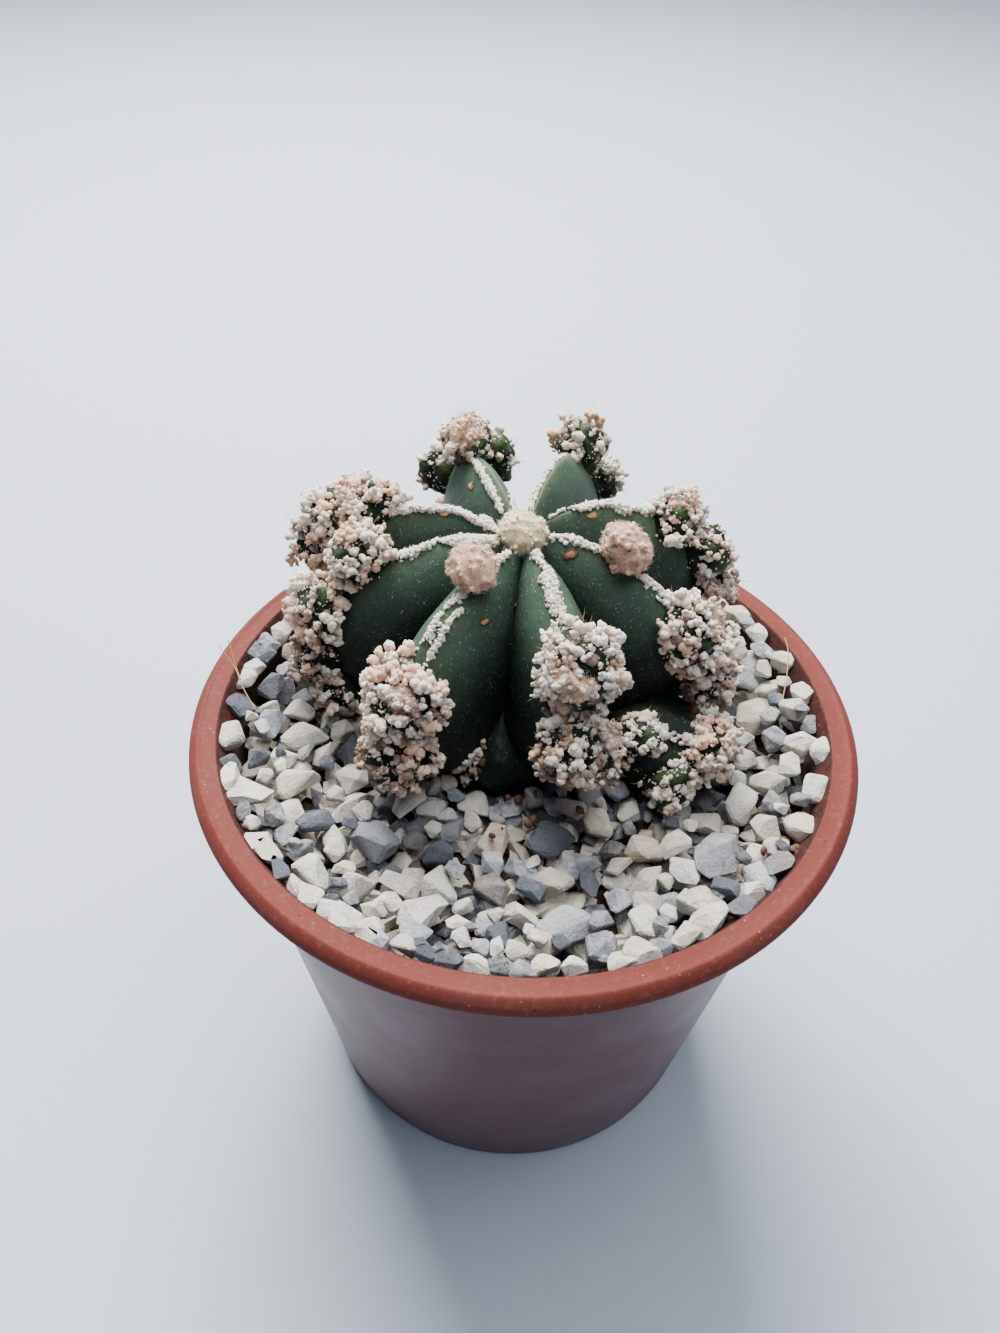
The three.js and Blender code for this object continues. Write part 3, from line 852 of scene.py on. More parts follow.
@dataclass(frozen=True)
class Pot:
    """The round nursery pot with its rolled rim, foot ring and drain holes."""

    height: float = 66
    rim_radius: float = 42.5
    flat_inner: float = 39.2
    flat_outer: float = 41.1
    lip_height: float = 2.5
    wall_top: float = 38.6
    wall: float = 0.95
    base_radius: float = 29.75
    foot_inner: float = 24.5
    foot_height: float = 1.6
    floor_top: float = 2.8
    drain_count: int = 6
    drain_ring: float = 18
    drain_radius: float = 3
    steps: int = 160

    def wall_radius(self, height: float, inset: float = 0) -> float:
        """The wall's outer radius at a height, less an inset."""
        slope = (self.wall_top - self.base_radius) / (self.height - 1.5 - self.foot_height)
        return self.base_radius + slope * (height - self.foot_height) - inset

    def outline(self) -> list[Pair]:
        """The wall's section as radius and height, from the middle of its floor round to its underside."""
        top = self.height
        return [
            (0, self.floor_top),
            (self.wall_radius(self.floor_top, self.wall) - 1.2, self.floor_top),
            (self.wall_radius(self.floor_top, self.wall), self.floor_top + 0.9),
            (self.wall_radius(top - 5, self.wall), top - 5),
            (self.wall_radius(top - 2.6, self.wall) + 0.1, top - 2.6),
            (self.flat_inner - 0.75, top - 1.2),
            (self.flat_inner - 0.4, top - 0.4),
            (self.flat_inner - 0.2, top - 0.14),
            (self.flat_inner, top - 0.16),
            (self.flat_outer - 0.4, top - 0.18),
            (self.flat_outer - 0.2, top - 0.13),
            (self.flat_outer, top - 0.02),
            (self.flat_outer + 0.15, top),
            (self.flat_outer + 0.35, top - 0.08),
            (self.flat_outer + 0.6, top - 0.3),
            (self.rim_radius - 0.35, top - 0.7),
            (self.rim_radius - 0.08, top - 1.15),
            (self.rim_radius, top - 1.6),
            (self.rim_radius - 0.06, top - 1.95),
            (self.rim_radius - 0.3, top - 2.25),
            (self.rim_radius - 0.7, top - self.lip_height),
            (self.wall_top + 1.6, top - self.lip_height + 0.1),
            (self.wall_top + 0.5, top - self.lip_height - 0.05),
            (self.wall_top - 0.05, top - self.lip_height - 0.7),
            (self.wall_radius(top - 5), top - 5),
            (self.wall_radius(30), 30),
            (self.wall_radius(2.2), 2.2),
            (self.base_radius - 0.25, 0.7),
            (self.base_radius - 0.8, 0.12),
            (self.base_radius - 1.3, 0),
            (self.foot_inner + 0.5, 0),
            (self.foot_inner, 0.3),
            (self.foot_inner - 0.8, self.foot_height),
            (0, self.foot_height),
        ]

    def shell(self) -> bpy.types.Mesh:
        """The spun wall, without its drain holes."""
        bm = spun(self.outline(), self.steps)
        for edge in bm.edges:
            edge.smooth = edge.calc_face_angle(0) < math.radians(38)
        return in_metres(bm, "pot_shell")

    def drains(self) -> bpy.types.Mesh:
        """The cylinders that cut the drain holes."""
        bm = bmesh.new()
        for i in range(self.drain_count):
            angle = i / self.drain_count * 2 * math.pi
            spot = (self.drain_ring * math.cos(angle), self.drain_ring * math.sin(angle), self.floor_top)
            bmesh.ops.create_cone(
                bm, cap_ends=True, segments=32, radius1=self.drain_radius, radius2=self.drain_radius,
                depth=6, matrix=Matrix.Translation(spot),
            )
        return in_metres(bm, "pot_drains")

    def build(self) -> bpy.types.Object:
        """The pot as a piece."""
        mesh = cut(self.shell(), self.drains(), "nursery_pot")
        mesh.polygons.foreach_set("use_smooth", [True] * len(mesh.polygons))
        return finish_piece(mesh, PotPlastic().build(), ["pot"])


def spun(outline: Iterable[Pair], steps: int) -> bmesh.types.BMesh:
    """Spins an outline of radius and height round the z axis into a closed shell that faces outwards."""
    bm = bmesh.new()
    corners = [bm.verts.new((radius, 0, height)) for radius, height in outline]
    edges = [bm.edges.new(pair) for pair in zip(corners, corners[1:])]
    bmesh.ops.spin(
        bm, geom=corners + edges, axis=(0, 0, 1), cent=(0, 0, 0), angle=2 * math.pi,
        steps=steps, use_merge=True,
    )
    bmesh.ops.remove_doubles(bm, verts=bm.verts, dist=1e-4)
    bmesh.ops.recalc_face_normals(bm, faces=bm.faces)
    return in_order(bm)


def in_metres(bm: bmesh.types.BMesh, name: str) -> bpy.types.Mesh:
    """Makes a bmesh in millimetres a mesh in metres, and frees it."""
    bmesh.ops.scale(bm, vec=(MM, MM, MM), verts=bm.verts)
    mesh = bpy.data.meshes.new(name)
    bm.to_mesh(mesh)
    bm.free()
    return mesh


def cut(body: bpy.types.Mesh, cutter: bpy.types.Mesh, name: str) -> bpy.types.Mesh:
    """The body less the cutter, as a new mesh."""
    whole = bpy.data.objects.new("whole", body)
    tool = bpy.data.objects.new("tool", cutter)
    for part in (whole, tool):
        bpy.context.scene.collection.objects.link(part)
    step = whole.modifiers.new("cut", "BOOLEAN")
    step.operation = "DIFFERENCE"
    step.solver = "EXACT"
    step.object = tool
    graph = bpy.context.evaluated_depsgraph_get()
    mesh = bpy.data.meshes.new_from_object(whole.evaluated_get(graph))
    mesh.name = name
    for part in (whole, tool):
        bpy.data.objects.remove(part)
    return mesh


# Plant geometry

CREST = [
    (0, 85.8), (4, 87.5), (9, 88.1), (14, 87), (18.4, 84.6), (21.4, 80.6), (22.9, 75.4),
    (22.9, 70), (21.2, 65.4), (16.6, 61.4), (10.2, 57.4), (5.4, 50.5), (3.2, 42), (0, 35),
]
GROOVE = [
    (0, 85.8), (2.6, 84.9), (6.2, 83), (9.8, 79.6), (12.2, 75.4), (13.4, 71.4), (13.9, 68.4),
    (13.9, 65.6), (13.4, 63), (12.2, 60.2), (9.6, 56.8), (5.4, 50.5), (3.2, 42), (0, 35),
]
LEVELS = len(CREST) - 1
PLANT = np.array([-0.8, 8.5])
CROWN_HEIGHT, CROWN_RADIUS = 90.0, 3.3


class HeadKind(Enum):
    """How a woolly head looks."""

    FLUFFY = "one fluffy ball"
    KNOBBLY = "many small tufts round a fluffy middle"
    AGED = "browned tufts with dark gaps"
    LOBED = "green lobes with a few tufts"
    CAPPED = "a broad fluffy cap over small tufts"


@dataclass(frozen=True)
class Head:
    """A head on a rib's crest: level along the rib, size, height above the crest, and angle aside."""

    level: float
    size: float
    lift: float
    aside: float
    kind: HeadKind = HeadKind.KNOBBLY


@dataclass(frozen=True)
class Strand:
    """A strand of felt along a rib, from one level to another, beside the crest by some millimetres."""

    start: float
    end: float
    side: float = 0.0
    side_end: float = 0.0
    width: float = 0.5
    breaks: float = -1.7


@dataclass(frozen=True)
class Rib:
    """A main rib of the stem, with its heads and strands of felt."""

    name: str
    azimuth: float
    sway: float
    reach: float
    belly: float
    rise: float
    slump: float
    heads: tuple[Head, ...]
    strands: tuple[Strand, ...]


F, K, A, L, C = HeadKind.FLUFFY, HeadKind.KNOBBLY, HeadKind.AGED, HeadKind.LOBED, HeadKind.CAPPED
RIBS = (
    Rib(
        "front_right", -70, -1, 1, 1, 0, 1.6,
        (Head(4.5, 5.3, -0.6, 1, K), Head(6.5, 5.1, -0.8, -1, A)),
        (
            Strand(0.95, 4.2, 0, 0, 0.45),
            Strand(1.8, 3.0, -0.75, -0.9, 0.7),
            Strand(1.0, 1.5, -0.3, -0.1, 0.75, -1),
        ),
    ),
    Rib(
        "right", -17, -3, 0.9, 0.98, 0.4, 1.3,
        (Head(2.9, 3.2, 2, 0, F), Head(5.5, 5, 0.2, 0, K), Head(6.6, 4.6, 1.4, 3, A)),
        (Strand(0.95, 5.2, 0, 0, 0.55, -1.0), Strand(3.4, 5, -1.4, -1.6, 0.45, 0.1)),
    ),
    Rib(
        "back_right", 28, -6, 0.96, 1.1, 1, 0.4,
        (Head(4.4, 4.1, 0.4, 0, K), Head(5.6, 4.2, 1, 0, L), Head(6.6, 4.2, 1.4, 0, A)),
        (Strand(0.95, 7, 0, 0, 0.5), Strand(1.7, 2.4, 0.5, 0.7, 0.6), Strand(2.4, 3.2, 0.3, -0.6, 0.6)),
    ),
    Rib(
        "back", 71, -2, 1.02, 1.08, 0.8, -1.8,
        (Head(4.1, 4, 1.4, 0, K), Head(5.4, 3.8, 1, -3, K), Head(6.8, 4, 0.8, 0, A)),
        (
            Strand(0.95, 3.4, 2.3, 1.6, 0.5),
            Strand(3.4, 7.5, 1.6, 0.2, 0.5),
            Strand(0.95, 2.6, 1.1, 1.5, 0.45),
        ),
    ),
    Rib(
        "back_left", 112, 1, 1.08, 1.08, 0, -2,
        (
            Head(3.7, 4, 1.5, 0, C),
            Head(5, 3.7, 1.2, 3, L),
            Head(4.8, 3.5, 1, -12, L),
            Head(6.8, 4, 0.8, 0, A),
        ),
        (Strand(0.8, 2.2, 2.9, 1.9, 0.75), Strand(2.2, 3.6, 1.9, 1.0, 0.5), Strand(3.6, 7.5, 1.0, 0, 0.5)),
    ),
    Rib(
        "left_back", 153, 4, 1.05, 1.18, -0.6, 0,
        (Head(4.1, 4.1, 1.2, 0, K), Head(4.8, 4.2, 2.8, 1, K), Head(5.6, 4.2, 2.6, 1, A)),
        (Strand(0.8, 6.5, 0.4, 0, 0.5), Strand(2, 2.7, -0.5, -0.6, 0.7), Strand(3.2, 4.2, 0.9, 1.3, 0.7)),
    ),
    Rib(
        "left", 184, 1, 1.05, 1.1, -0.5, 2,
        (Head(4.1, 4, 1.9, -2, K), Head(5.7, 4.5, 0.8, 0, K), Head(7, 4.5, 0.8, 0, A), Head(8, 4, 1, 3, A)),
        (Strand(0.8, 8.5, 0, 0, 0.58), Strand(0.8, 1.9, 0.5, 0.3, 0.8, -1.2)),
    ),
    Rib(
        "front_left", -123, -2.5, 1.02, 1.05, -0.5, 0.4,
        (Head(2.3, 2.95, 1.9, 0, F), Head(5.5, 5.2, -0.3, 0, K), Head(6.9, 5, 0.4, 0, A)),
        (Strand(0.95, 5.2, 0.2, -0.3, 0.42, -1.4), Strand(3.1, 4.7, 1.5, 1.1, 0.42, -1.4)),
    ),
)


@dataclass(frozen=True)
class FootRib:
    """A small rib that swells out of a groove at the foot: an egg with its heads and a line of felt."""

    name: str
    azimuth: float
    radius: float
    height: float
    half: Triple
    heads: tuple[tuple[float, float, float, float], ...]
    line: tuple[Triple, ...]

    def centre(self) -> Array:
        """The egg's middle."""
        return on_plane(np.array([self.radius, self.height]), math.radians(self.azimuth))

    def way(self, spot: Sequence[float]) -> Array:
        """A direction from the rib's own frame, out, across and up."""
        a = math.radians(self.azimuth)
        out, across, up = spot
        flat = (out * math.cos(a) - across * math.sin(a), out * math.sin(a) + across * math.cos(a), up)
        return unit(np.array(flat))


FOOT_RIBS = (
    FootRib(
        "foot_front", -98, 11.4, 64.2, (9, 7.4, 6.2), (),
        ((6, -2, 4), (8, -3.4, 1.5), (8, -4.2, -1), (7, -4.6, -3)),
    ),
    FootRib(
        "foot_right", -35, 22.4, 65, (7.6, 6.8, 5.8),
        ((-1, -4.4, 3.4, 3.4), (6, 0, 2.6, 4), (4, -4.8, -0.8, 3.7)),
        ((-3, -3, 4.5), (-1, -4.4, 3.4), (2, -2.4, 4), (6, 0, 2.6), (6.4, -3, 0.6), (4, -4.8, -0.8)),
    ),
)


def through(points: Sequence[Pair], level: Array) -> Array:
    """Places on a smooth line through the points, by level, with even Catmull-Rom steps."""
    table = np.array(points, float)
    last = len(table) - 1
    spot = np.clip(np.asarray(level, float), 0, last)
    i = np.minimum(spot.astype(int), last - 1)
    t = (spot - i)[..., None]
    before, start, end, after = (table[np.clip(i + k, 0, last)] for k in (-1, 0, 1, 2))
    v0, v1 = (end - before) / 2, (after - start) / 2
    cubic = (2 * start - 2 * end + v0 + v1) * t**3
    return cubic + (-3 * start + 3 * end - 2 * v0 - v1) * t**2 + v0 * t + start


def outward(points: Sequence[Pair], level: Array) -> Array:
    """The direction away from the plant's inside along a line, as radius and height."""
    step = 1e-3
    tangent = unit(through(points, np.asarray(level) + step) - through(points, np.asarray(level) - step))
    return np.stack([-tangent[..., 1], tangent[..., 0]], -1)


def on_plane(spot: Array, angle: Union[float, Array]) -> Array:
    """The place at a radius and a height, at an angle round the plant's axis."""
    radius, height = spot[..., 0], spot[..., 1]
    return np.stack([PLANT[0] + radius * np.cos(angle), PLANT[1] + radius * np.sin(angle), height], -1)


def crest_at(rib: Rib, level: Array) -> Array:
    """The rib's crest, as radius and height."""
    level = np.asarray(level, float)
    spot = through(CREST, level)
    above = smooth(spot[..., 1], 58.6, 66.6)
    scale = rib.reach + (rib.belly - rib.reach) * smooth(level, 2.5, 5.5)
    drawn_in = np.where(level < 7, rib.slump * np.sin(np.pi * level / 7) ** 2, 0)
    moved = np.stack([spot[..., 0] * (1 + (scale - 1) * above), spot[..., 1] + rib.rise * above], -1)
    return moved - outward(CREST, level) * drawn_in[..., None]


def azimuth_at(rib: Rib, level: Array) -> Array:
    """The angle of the rib's crest, in degrees."""
    return rib.azimuth + rib.sway * smooth(np.asarray(level, float), 1.5, 6)


@dataclass
class PlacedHead:
    """A head in its place: middle, direction it faces, size and kind."""

    centre: Array
    facing: Array
    size: float
    kind: HeadKind
    seed: int


def heads_of(rib: Rib) -> list[PlacedHead]:
    """The heads of a rib in their places."""
    placed = []
    for order, head in enumerate(rib.heads):
        angle = math.radians(float(azimuth_at(rib, head.level)) + head.aside)
        radius, rise = outward(CREST, head.level)
        facing = np.array([radius * math.cos(angle), radius * math.sin(angle), rise])
        centre = on_plane(crest_at(rib, head.level), angle) + facing * head.lift
        placed.append(PlacedHead(centre, facing, head.size, head.kind, int(rib.azimuth + 360) * 10 + order))
    return placed


def heads_of_foot(foot: FootRib) -> list[PlacedHead]:
    """The heads of a foot rib in their places."""
    placed = []
    for order, (out, across, up, size) in enumerate(foot.heads):
        way = foot.way((out, across, up))
        centre = foot.centre() + way * math.sqrt(out**2 + across**2 + up**2)
        placed.append(PlacedHead(centre, way, size, K if order == 1 else L, 7000 + order))
    return placed


@dataclass
class Stem:
    """The plant's body: eight ribs, two foot ribs, and the green lumps that its heads grow on."""

    rows: int = 120
    columns: int = 320
    flank_round: float = 1.3
    flank_drop: float = 0.8
    bumps: float = 0.1
    crease: float = 0.9
    crease_share: float = 0.13
    heads: list[PlacedHead] = field(default_factory=list)
    tree: Optional[BVHTree] = None

    def ribbed(self) -> tuple[Form, Array]:
        """The ribbed body, spun as a plain tube and then drawn out into ribs, with its tints."""
        levels = np.linspace(0, LEVELS - 0.4, self.rows)
        outline = [(0, 0), *((1, -level) for level in levels[1:]), (0, -LEVELS)]
        tube = Form.of(spun(outline, self.columns))
        x, y, z = tube.corners.T
        level = -z
        azimuth = np.degrees(np.arctan2(y, x))
        spot, hold = self._skin(level, azimuth)
        axis = (x**2 + y**2) < 1e-6
        spot[axis & (level < 1), 0] = 0
        places = on_plane(spot, np.radians(azimuth))
        # painted light: the height channel makes the skin lighter towards the top
        tints = np.stack([hold, smooth(places[:, 2], 60, 90), np.zeros(len(hold))], -1)
        places = places + self._lumps(places, level)
        return Form(places, tube.faces), tints

    def _skin(self, level: Array, azimuth: Array) -> tuple[Array, Array]:
        """Radius and height of the skin, and how near the crest it is, at levels and angles in degrees."""
        spot = np.zeros((len(level), 2))
        hold = np.zeros(len(level))
        groove = through(GROOVE, level)
        for order, rib in enumerate(RIBS):
            for side in (1, -1):
                beside = RIBS[(order + side) % len(RIBS)]
                here = azimuth_at(rib, level)
                gap = np.mod(side * (azimuth_at(beside, level) - here), 360)
                share = np.mod(side * (azimuth - here), 360) / gap * 2
                inside = share <= 1
                near = (1 - np.clip(share, 0, 1) ** self.flank_round) ** self.flank_drop
                crest = crest_at(rib, level)
                skin = groove + (crest - groove) * near[:, None]
                fold = np.clip(1 - near / self.crease_share, 0, 1) ** 2
                skin = skin - outward(GROOVE, level) * (fold * self.crease * smooth(level, 0.4, 1.5))[:, None]
                spot[inside] = skin[inside]
                hold[inside] = near[inside]
        return spot, hold

    def _lumps(self, places: Array, level: Array) -> Array:
        """Gentle unevenness of the skin."""
        away = places - np.array([*PLANT, 70])
        push = waves(places, 5, SEED) * self.bumps + waves(places, 2, SEED + 1) * self.bumps * 0.3
        return unit(away) * (push * smooth(level, 0, 2))[:, None]

    def foot_rib(self, foot: FootRib) -> tuple[Form, Array]:
        """A foot rib: an egg whose upper outer side is drawn into a blunt keel."""
        egg = Form.ball(5)
        x, y, z = egg.corners.T
        keel = 1 - 0.28 * np.abs(y) * np.maximum(x + z, 0)
        out, across, up = foot.half
        own = np.stack([x * keel * out, y * across, z * keel * up], -1)
        a = math.radians(foot.azimuth)
        turn = np.array([[math.cos(a), -math.sin(a), 0], [math.sin(a), math.cos(a), 0], [0, 0, 1]])
        places = own @ turn.T + foot.centre()
        away = unit(own @ turn.T)
        places = places + away * (waves(places, 2.4, 77) * 0.22 + waves(places, 1.1, 78) * 0.06)[:, None]
        crest = np.clip(1 - np.abs(y) * 1.6, 0, 1) * 0.6
        tints = np.stack([crest, np.full(len(x), 0.2), smooth(waves(places, 3, 5), 0, 1) * 0.25], -1)
        return Form(places, egg.faces), tints

    def knob_skin(self, head: PlacedHead, ways: Array) -> tuple[Array, Array]:
        """Places on the green lump under a head, in each direction from its middle, and how they swell."""
        lobed = head.kind is HeadKind.LOBED
        share = {HeadKind.FLUFFY: 0.62, HeadKind.LOBED: 0.84}.get(head.kind, 0.78)
        base = head.centre + ways * head.size * share
        push = waves(base, 2.4 if lobed else 1.6, head.seed) * (0.6 if lobed else 0.45)
        push = push + waves(base, 0.7, head.seed + 1) * 0.12
        return base + ways * push[:, None], push

    def knob(self, head: PlacedHead) -> tuple[Form, Array]:
        """The green lump under a head."""
        ball = Form.ball(4)
        places, push = self.knob_skin(head, ball.corners)
        young = smooth(push, -0.1, 0.6) * (0.3 if head.kind is HeadKind.AGED else 0.8)
        tints = np.stack([np.full(len(push), 0.5), np.full(len(push), 0.4), young], -1)
        return Form(places, ball.faces), tints

    def build(self) -> bpy.types.Object:
        """The stem as a piece; its surface is kept for what grows on it."""
        heap = Heap()
        heap.add(*self.ribbed())
        for foot in FOOT_RIBS:
            heap.add(*self.foot_rib(foot))
        whole = heap.merged()
        self.tree = BVHTree.FromPolygons(whole.corners.tolist(), whole.faces.tolist())
        for head in self.heads:
            heap.add(*self.knob(head))
        return finish_piece(heap.mesh("green_stem"), StemSkin().build(), ["cactus_stem"])

    def settle(self, places: Array, above: Union[float, Array]) -> tuple[Array, Array]:
        """Moves places onto the skin.

        Args:
            places: points near the skin.
            above: how far above the skin they end.

        Returns:
            The new places, and the skin's normals there.
        """
        spots, normals = [], []
        for place in places:
            spot, normal, _, _ = self.tree.find_nearest(Vector(place))
            spots.append(spot)
            normals.append(normal)
        spots, normals = np.array(spots), np.array(normals)
        return spots + normals * np.reshape(above, (-1, 1)), normals


# Wool


@dataclass(frozen=True)
class Hole:
    """A dark hole in a head, by the pixel of its middle; its radius is in millimetres."""

    across: int
    down: int
    radius: float


CORES = {HeadKind.AGED: 0.34, HeadKind.LOBED: 0.0, HeadKind.CAPPED: 0.74}


@dataclass
class Wool:
    """The wool and the few spines of the plant, made rib by rib.

    Fluffy balls of more than the big radius are finer. Their tufts and fibres are given for each square
    millimetre, as the grains of a strip are, and the tufts of a foot rib's line for each millimetre.
    """

    stem: Stem
    view: PhotoView
    holes: tuple[Hole, ...] = (Hole(587, 707, 1.1), Hole(650, 768, 1.6))
    big: float = 2.5
    fluff_tufts: float = 16
    fluff_fibres: Pair = (240, 300)
    strip_grains: float = 34
    foot_tufts: float = 7
    head_spines: int = 22
    # the lumps in the holes are tinted dark: painted shade
    hole_lumps: int = 240
    hole_depth: float = 0.76
    hole_shade_tint: Triple = (0.4, 1.4, 0.0)
    core: float = 0.42
    cap_way: Triple = (0.1, -0.55, 1.0)
    tuft_spacing: float = 0.8
    back: float = 24
    back_spacing: float = 1.34
    lumps_per_tuft: int = 3
    fibres_per_tuft: int = 5
    fibre_radius: float = 0.03
    strip_step: float = 0.34
    tuft: Form = field(default_factory=lambda: Form.ball(2))
    lump: Form = field(default_factory=lambda: Form.ball(1))
    grain: Form = field(default_factory=Form.grain)
    thorn: Form = field(default_factory=Form.thorn)
    spines: Heap = field(default_factory=Heap)

    def fibres(
        self,
        heap: Heap,
        roots: Array,
        ways: Array,
        tints: Array,
        length: Pair,
        draw: Chance,
        loose: float = 0.6,
    ) -> None:
        """Adds short fibres.

        Args:
            heap: the heap that they go to.
            roots: where they start.
            ways: the direction that they stand in, before they are ruffled.
            tints: their tints.
            length: the shortest and the longest.
            draw: the source of chance.
            loose: how much they are ruffled.
        """
        ruffled = unit(ways + draw.normal(size=ways.shape) * loose)
        long = draw.uniform(*length, len(roots))[:, None]
        wide = np.full((len(roots), 1), self.fibre_radius)
        sizes = np.concatenate([wide, wide, long], 1)
        axes = standing(ruffled, draw) * sizes[:, None, :]
        heap.scatter(self.thorn, roots - ruffled * 0.1, axes, tints)

    def tufts(
        self,
        heap: Heap,
        places: Array,
        ways: Array,
        size: Array,
        tints: Array,
        draw: Chance,
        plain: bool = False,
    ) -> None:
        """Adds small tufts of wool: a lumpy core under grains and short fibres.

        Args:
            heap: the heap that they go to.
            places: their middles.
            ways: the direction that each one faces.
            size: their radii.
            tints: their tints.
            draw: the source of chance.
            plain: whether they are cores alone.
        """
        count = len(places)
        stretch = draw.uniform(0.7, 1.3, (count, 3))
        axes = standing(ways, draw) * (size[:, None] * stretch)[:, None, :]
        heap.scatter(self.lump, places, axes, tints, 0.1, 0.45)
        if plain:
            return
        many = np.repeat(np.arange(count), self.lumps_per_tuft)
        off = unit(draw.normal(size=(len(many), 3)) + ways[many] * 0.4)
        spots = places[many] + off * (size[many] * draw.uniform(0.7, 1.15, len(many)))[:, None]
        small = (size[many] * draw.uniform(0.35, 0.8, len(many)))[:, None]
        small = small * draw.uniform(0.7, 1.3, (len(many), 3))
        shade = tints[many] + draw.normal(size=(len(many), 3)) * np.array([0.12, 0.1, 0.2])
        heap.scatter(self.lump, spots, standing(off, draw) * small[:, None, :], shade, 0.06, 0.3)
        many = np.repeat(np.arange(count), self.fibres_per_tuft)
        off = unit(draw.normal(size=(len(many), 3)) + ways[many] * 0.8)
        roots = places[many] + off * size[many][:, None]
        shade = tints[many] + draw.normal(size=(len(many), 3)) * 0.08
        self.fibres(heap, roots, off, shade, (0.12, 0.42), draw, 0.6)

    def fluff(
        self,
        heap: Heap,
        centre: Array,
        facing: Array,
        size: float,
        tint: Pair,
        draw: Chance,
        seed: int,
        fold: float = 0.22,
    ) -> None:
        """Adds a fluffy ball of crinkled wool.

        Args:
            heap: the heap that it goes to.
            centre: its middle.
            facing: the direction that it faces.
            size: its radius.
            tint: how pink and how aged it is.
            draw: the source of chance.
            seed: picks its crinkles.
            fold: how deep its crinkles are, as a share of the radius.
        """
        pink, aged = tint
        big = size > self.big
        heap.add(*self._crinkled(Form.ball(5 if big else 4), centre, size, tint, seed, fold))
        count = int(self.fluff_tufts * size**2)
        ways = spread_ways(count, draw, 0.6)
        crest = self._crinkle(centre + ways * size, seed)
        keep = crest > 0.35
        ways, crest = ways[keep], crest[keep]
        count = len(ways)
        places = centre + ways * (self._puff(ways, size, seed) * (1 - fold * (1 - crest)))[:, None]
        tints = self._shades(pink, aged, crest, draw)
        self.tufts(heap, places, ways, draw.uniform(0.2, 0.4, count), tints, draw, True)
        count = int(self.fluff_fibres[big] * size**2)
        ways = spread_ways(count, draw, 0.6)
        crest = self._crinkle(centre + ways * size, seed)
        roots = centre + ways * (self._puff(ways, size, seed) * (1.02 - fold * (1 - crest)))[:, None]
        swirl = np.cross(ways, unit(draw.normal(size=3) + facing))
        turn = np.sign(waves(roots, 0.9, seed + 5))[:, None]
        lean = ways * 0.35 + swirl * turn * 0.9
        self.fibres(heap, roots, lean, self._shades(pink, aged, crest, draw), (0.3, 0.9), draw, 0.5)

    def _puff(self, ways: Array, size: float, seed: int) -> Array:
        """The radius of fluffy wool in each direction: an uneven ball."""
        return size * (1 + 0.1 * waves(ways, 1.6, seed + 9))

    def _crinkle(self, places: Array, seed: int) -> Array:
        """How high the crinkles of fluffy wool stand at places, from 0 to 1."""
        bent = places + np.stack([waves(places, 1.6, seed + k) for k in (21, 22, 23)], -1) * 0.35
        ridge = 1 - np.abs(waves(bent, 1.7, seed)) * 1.3
        return np.clip(0.8 * ridge + 0.2 * (0.5 + 0.5 * waves(places, 0.55, seed + 3)), 0, 1)

    def _shades(self, pink: float, aged: float, crest: Array, draw: Chance) -> Array:
        """Tints of fluffy wool: its hollows are painted browner and darker, as shade."""
        count = len(crest)
        warm = pink + draw.uniform(-0.25, 0.15, count)
        old = aged + smooth(-crest, -0.5, 0.0) * 0.4 + draw.uniform(-0.1, 0.1, count)
        return np.stack([warm, old, 0.5 + crest * 0.5], -1)

    def _crinkled(
        self, ball: Form, centre: Array, size: float, tint: Pair, seed: int, fold: float
    ) -> tuple[Form, Array]:
        """The ball under the fluff, with its tints."""
        crest = self._crinkle(centre + ball.corners * size, seed)
        puff = self._puff(ball.corners, size, seed)
        places = centre + ball.corners * (puff * (0.98 - fold * 1.25 * (1 - crest)))[:, None]
        pink, aged = tint
        # painted shade: the hollows of the crinkles are tinted darker and browner
        deep = smooth(-crest, -0.45, 0.0)
        tints = np.stack([np.full(len(crest), pink), aged + deep * fold * 3, 0.3 + crest * 0.7], -1)
        return Form(places, ball.faces), tints

    def strip(self, heap: Heap, rib: Rib, strand: Strand, draw: Chance) -> None:
        """Adds a strip of felt along a rib: flat lumps end to end, with grains and fibres on them."""
        rail = np.linspace(strand.start, strand.end, 80)
        line = on_plane(crest_at(rib, rail), np.radians(azimuth_at(rib, rail)))
        steps = np.linalg.norm(np.diff(line, axis=0), axis=1)
        length = steps.sum()
        along = np.concatenate([[0], np.cumsum(steps)]) / length
        count = int(length / self.strip_step)
        level = np.interp((np.arange(count) + draw.uniform(-0.3, 0.3, count)) / count, along, rail)
        spot, across, normals, thick = self._on_strand(rib, strand, level, np.zeros(count), 0.12)
        fat = strand.width * thick * draw.uniform(0.7, 1.0, count)
        open_spots = self._unbroken(rib, spot) > strand.breaks
        tints = tints_of(count, draw, -0.25, (0.1, 0.3), (0.4, 0.8))
        ahead = unit(np.cross(across, normals))
        axes = np.stack([across * fat[:, None], ahead * 0.4, normals * (0.14 + 0.08 * thick)[:, None]], -1)
        heap.scatter(self.tuft, spot[open_spots], axes[open_spots], tints[open_spots], 0.1, 0.45)
        count = int(length * self.strip_grains * strand.width)
        level = np.interp(draw.uniform(0, 1, count), along, rail)
        aside = np.clip(draw.normal(size=count) * 0.7, -1.7, 1.7)
        spot, across, normals, thick = self._on_strand(rib, strand, level, aside, 0.3)
        kept = self._unbroken(rib, spot) > strand.breaks - 0.15
        spot, across, normals, aside = spot[kept], across[kept], normals[kept], aside[kept]
        count = len(spot)
        small = draw.uniform(0.14, 0.34, (count, 1)) * draw.uniform(0.65, 1.35, (count, 3))
        small = small * np.array([1, 1, 0.7])
        tints = tints_of(count, draw, (-0.4, 0.0), (0, 0.15), (0.5, 1))
        lifted = spot + normals * draw.uniform(-0.08, 0.16, (count, 1))
        heap.scatter(self.lump, lifted, standing(normals, draw) * small[:, None, :], tints, 0.09, 0.25)
        pick = draw.integers(0, count, int(count * 1.6))
        side = np.sign(aside[pick])[:, None] * draw.uniform(0.1, 1.2, (len(pick), 1))
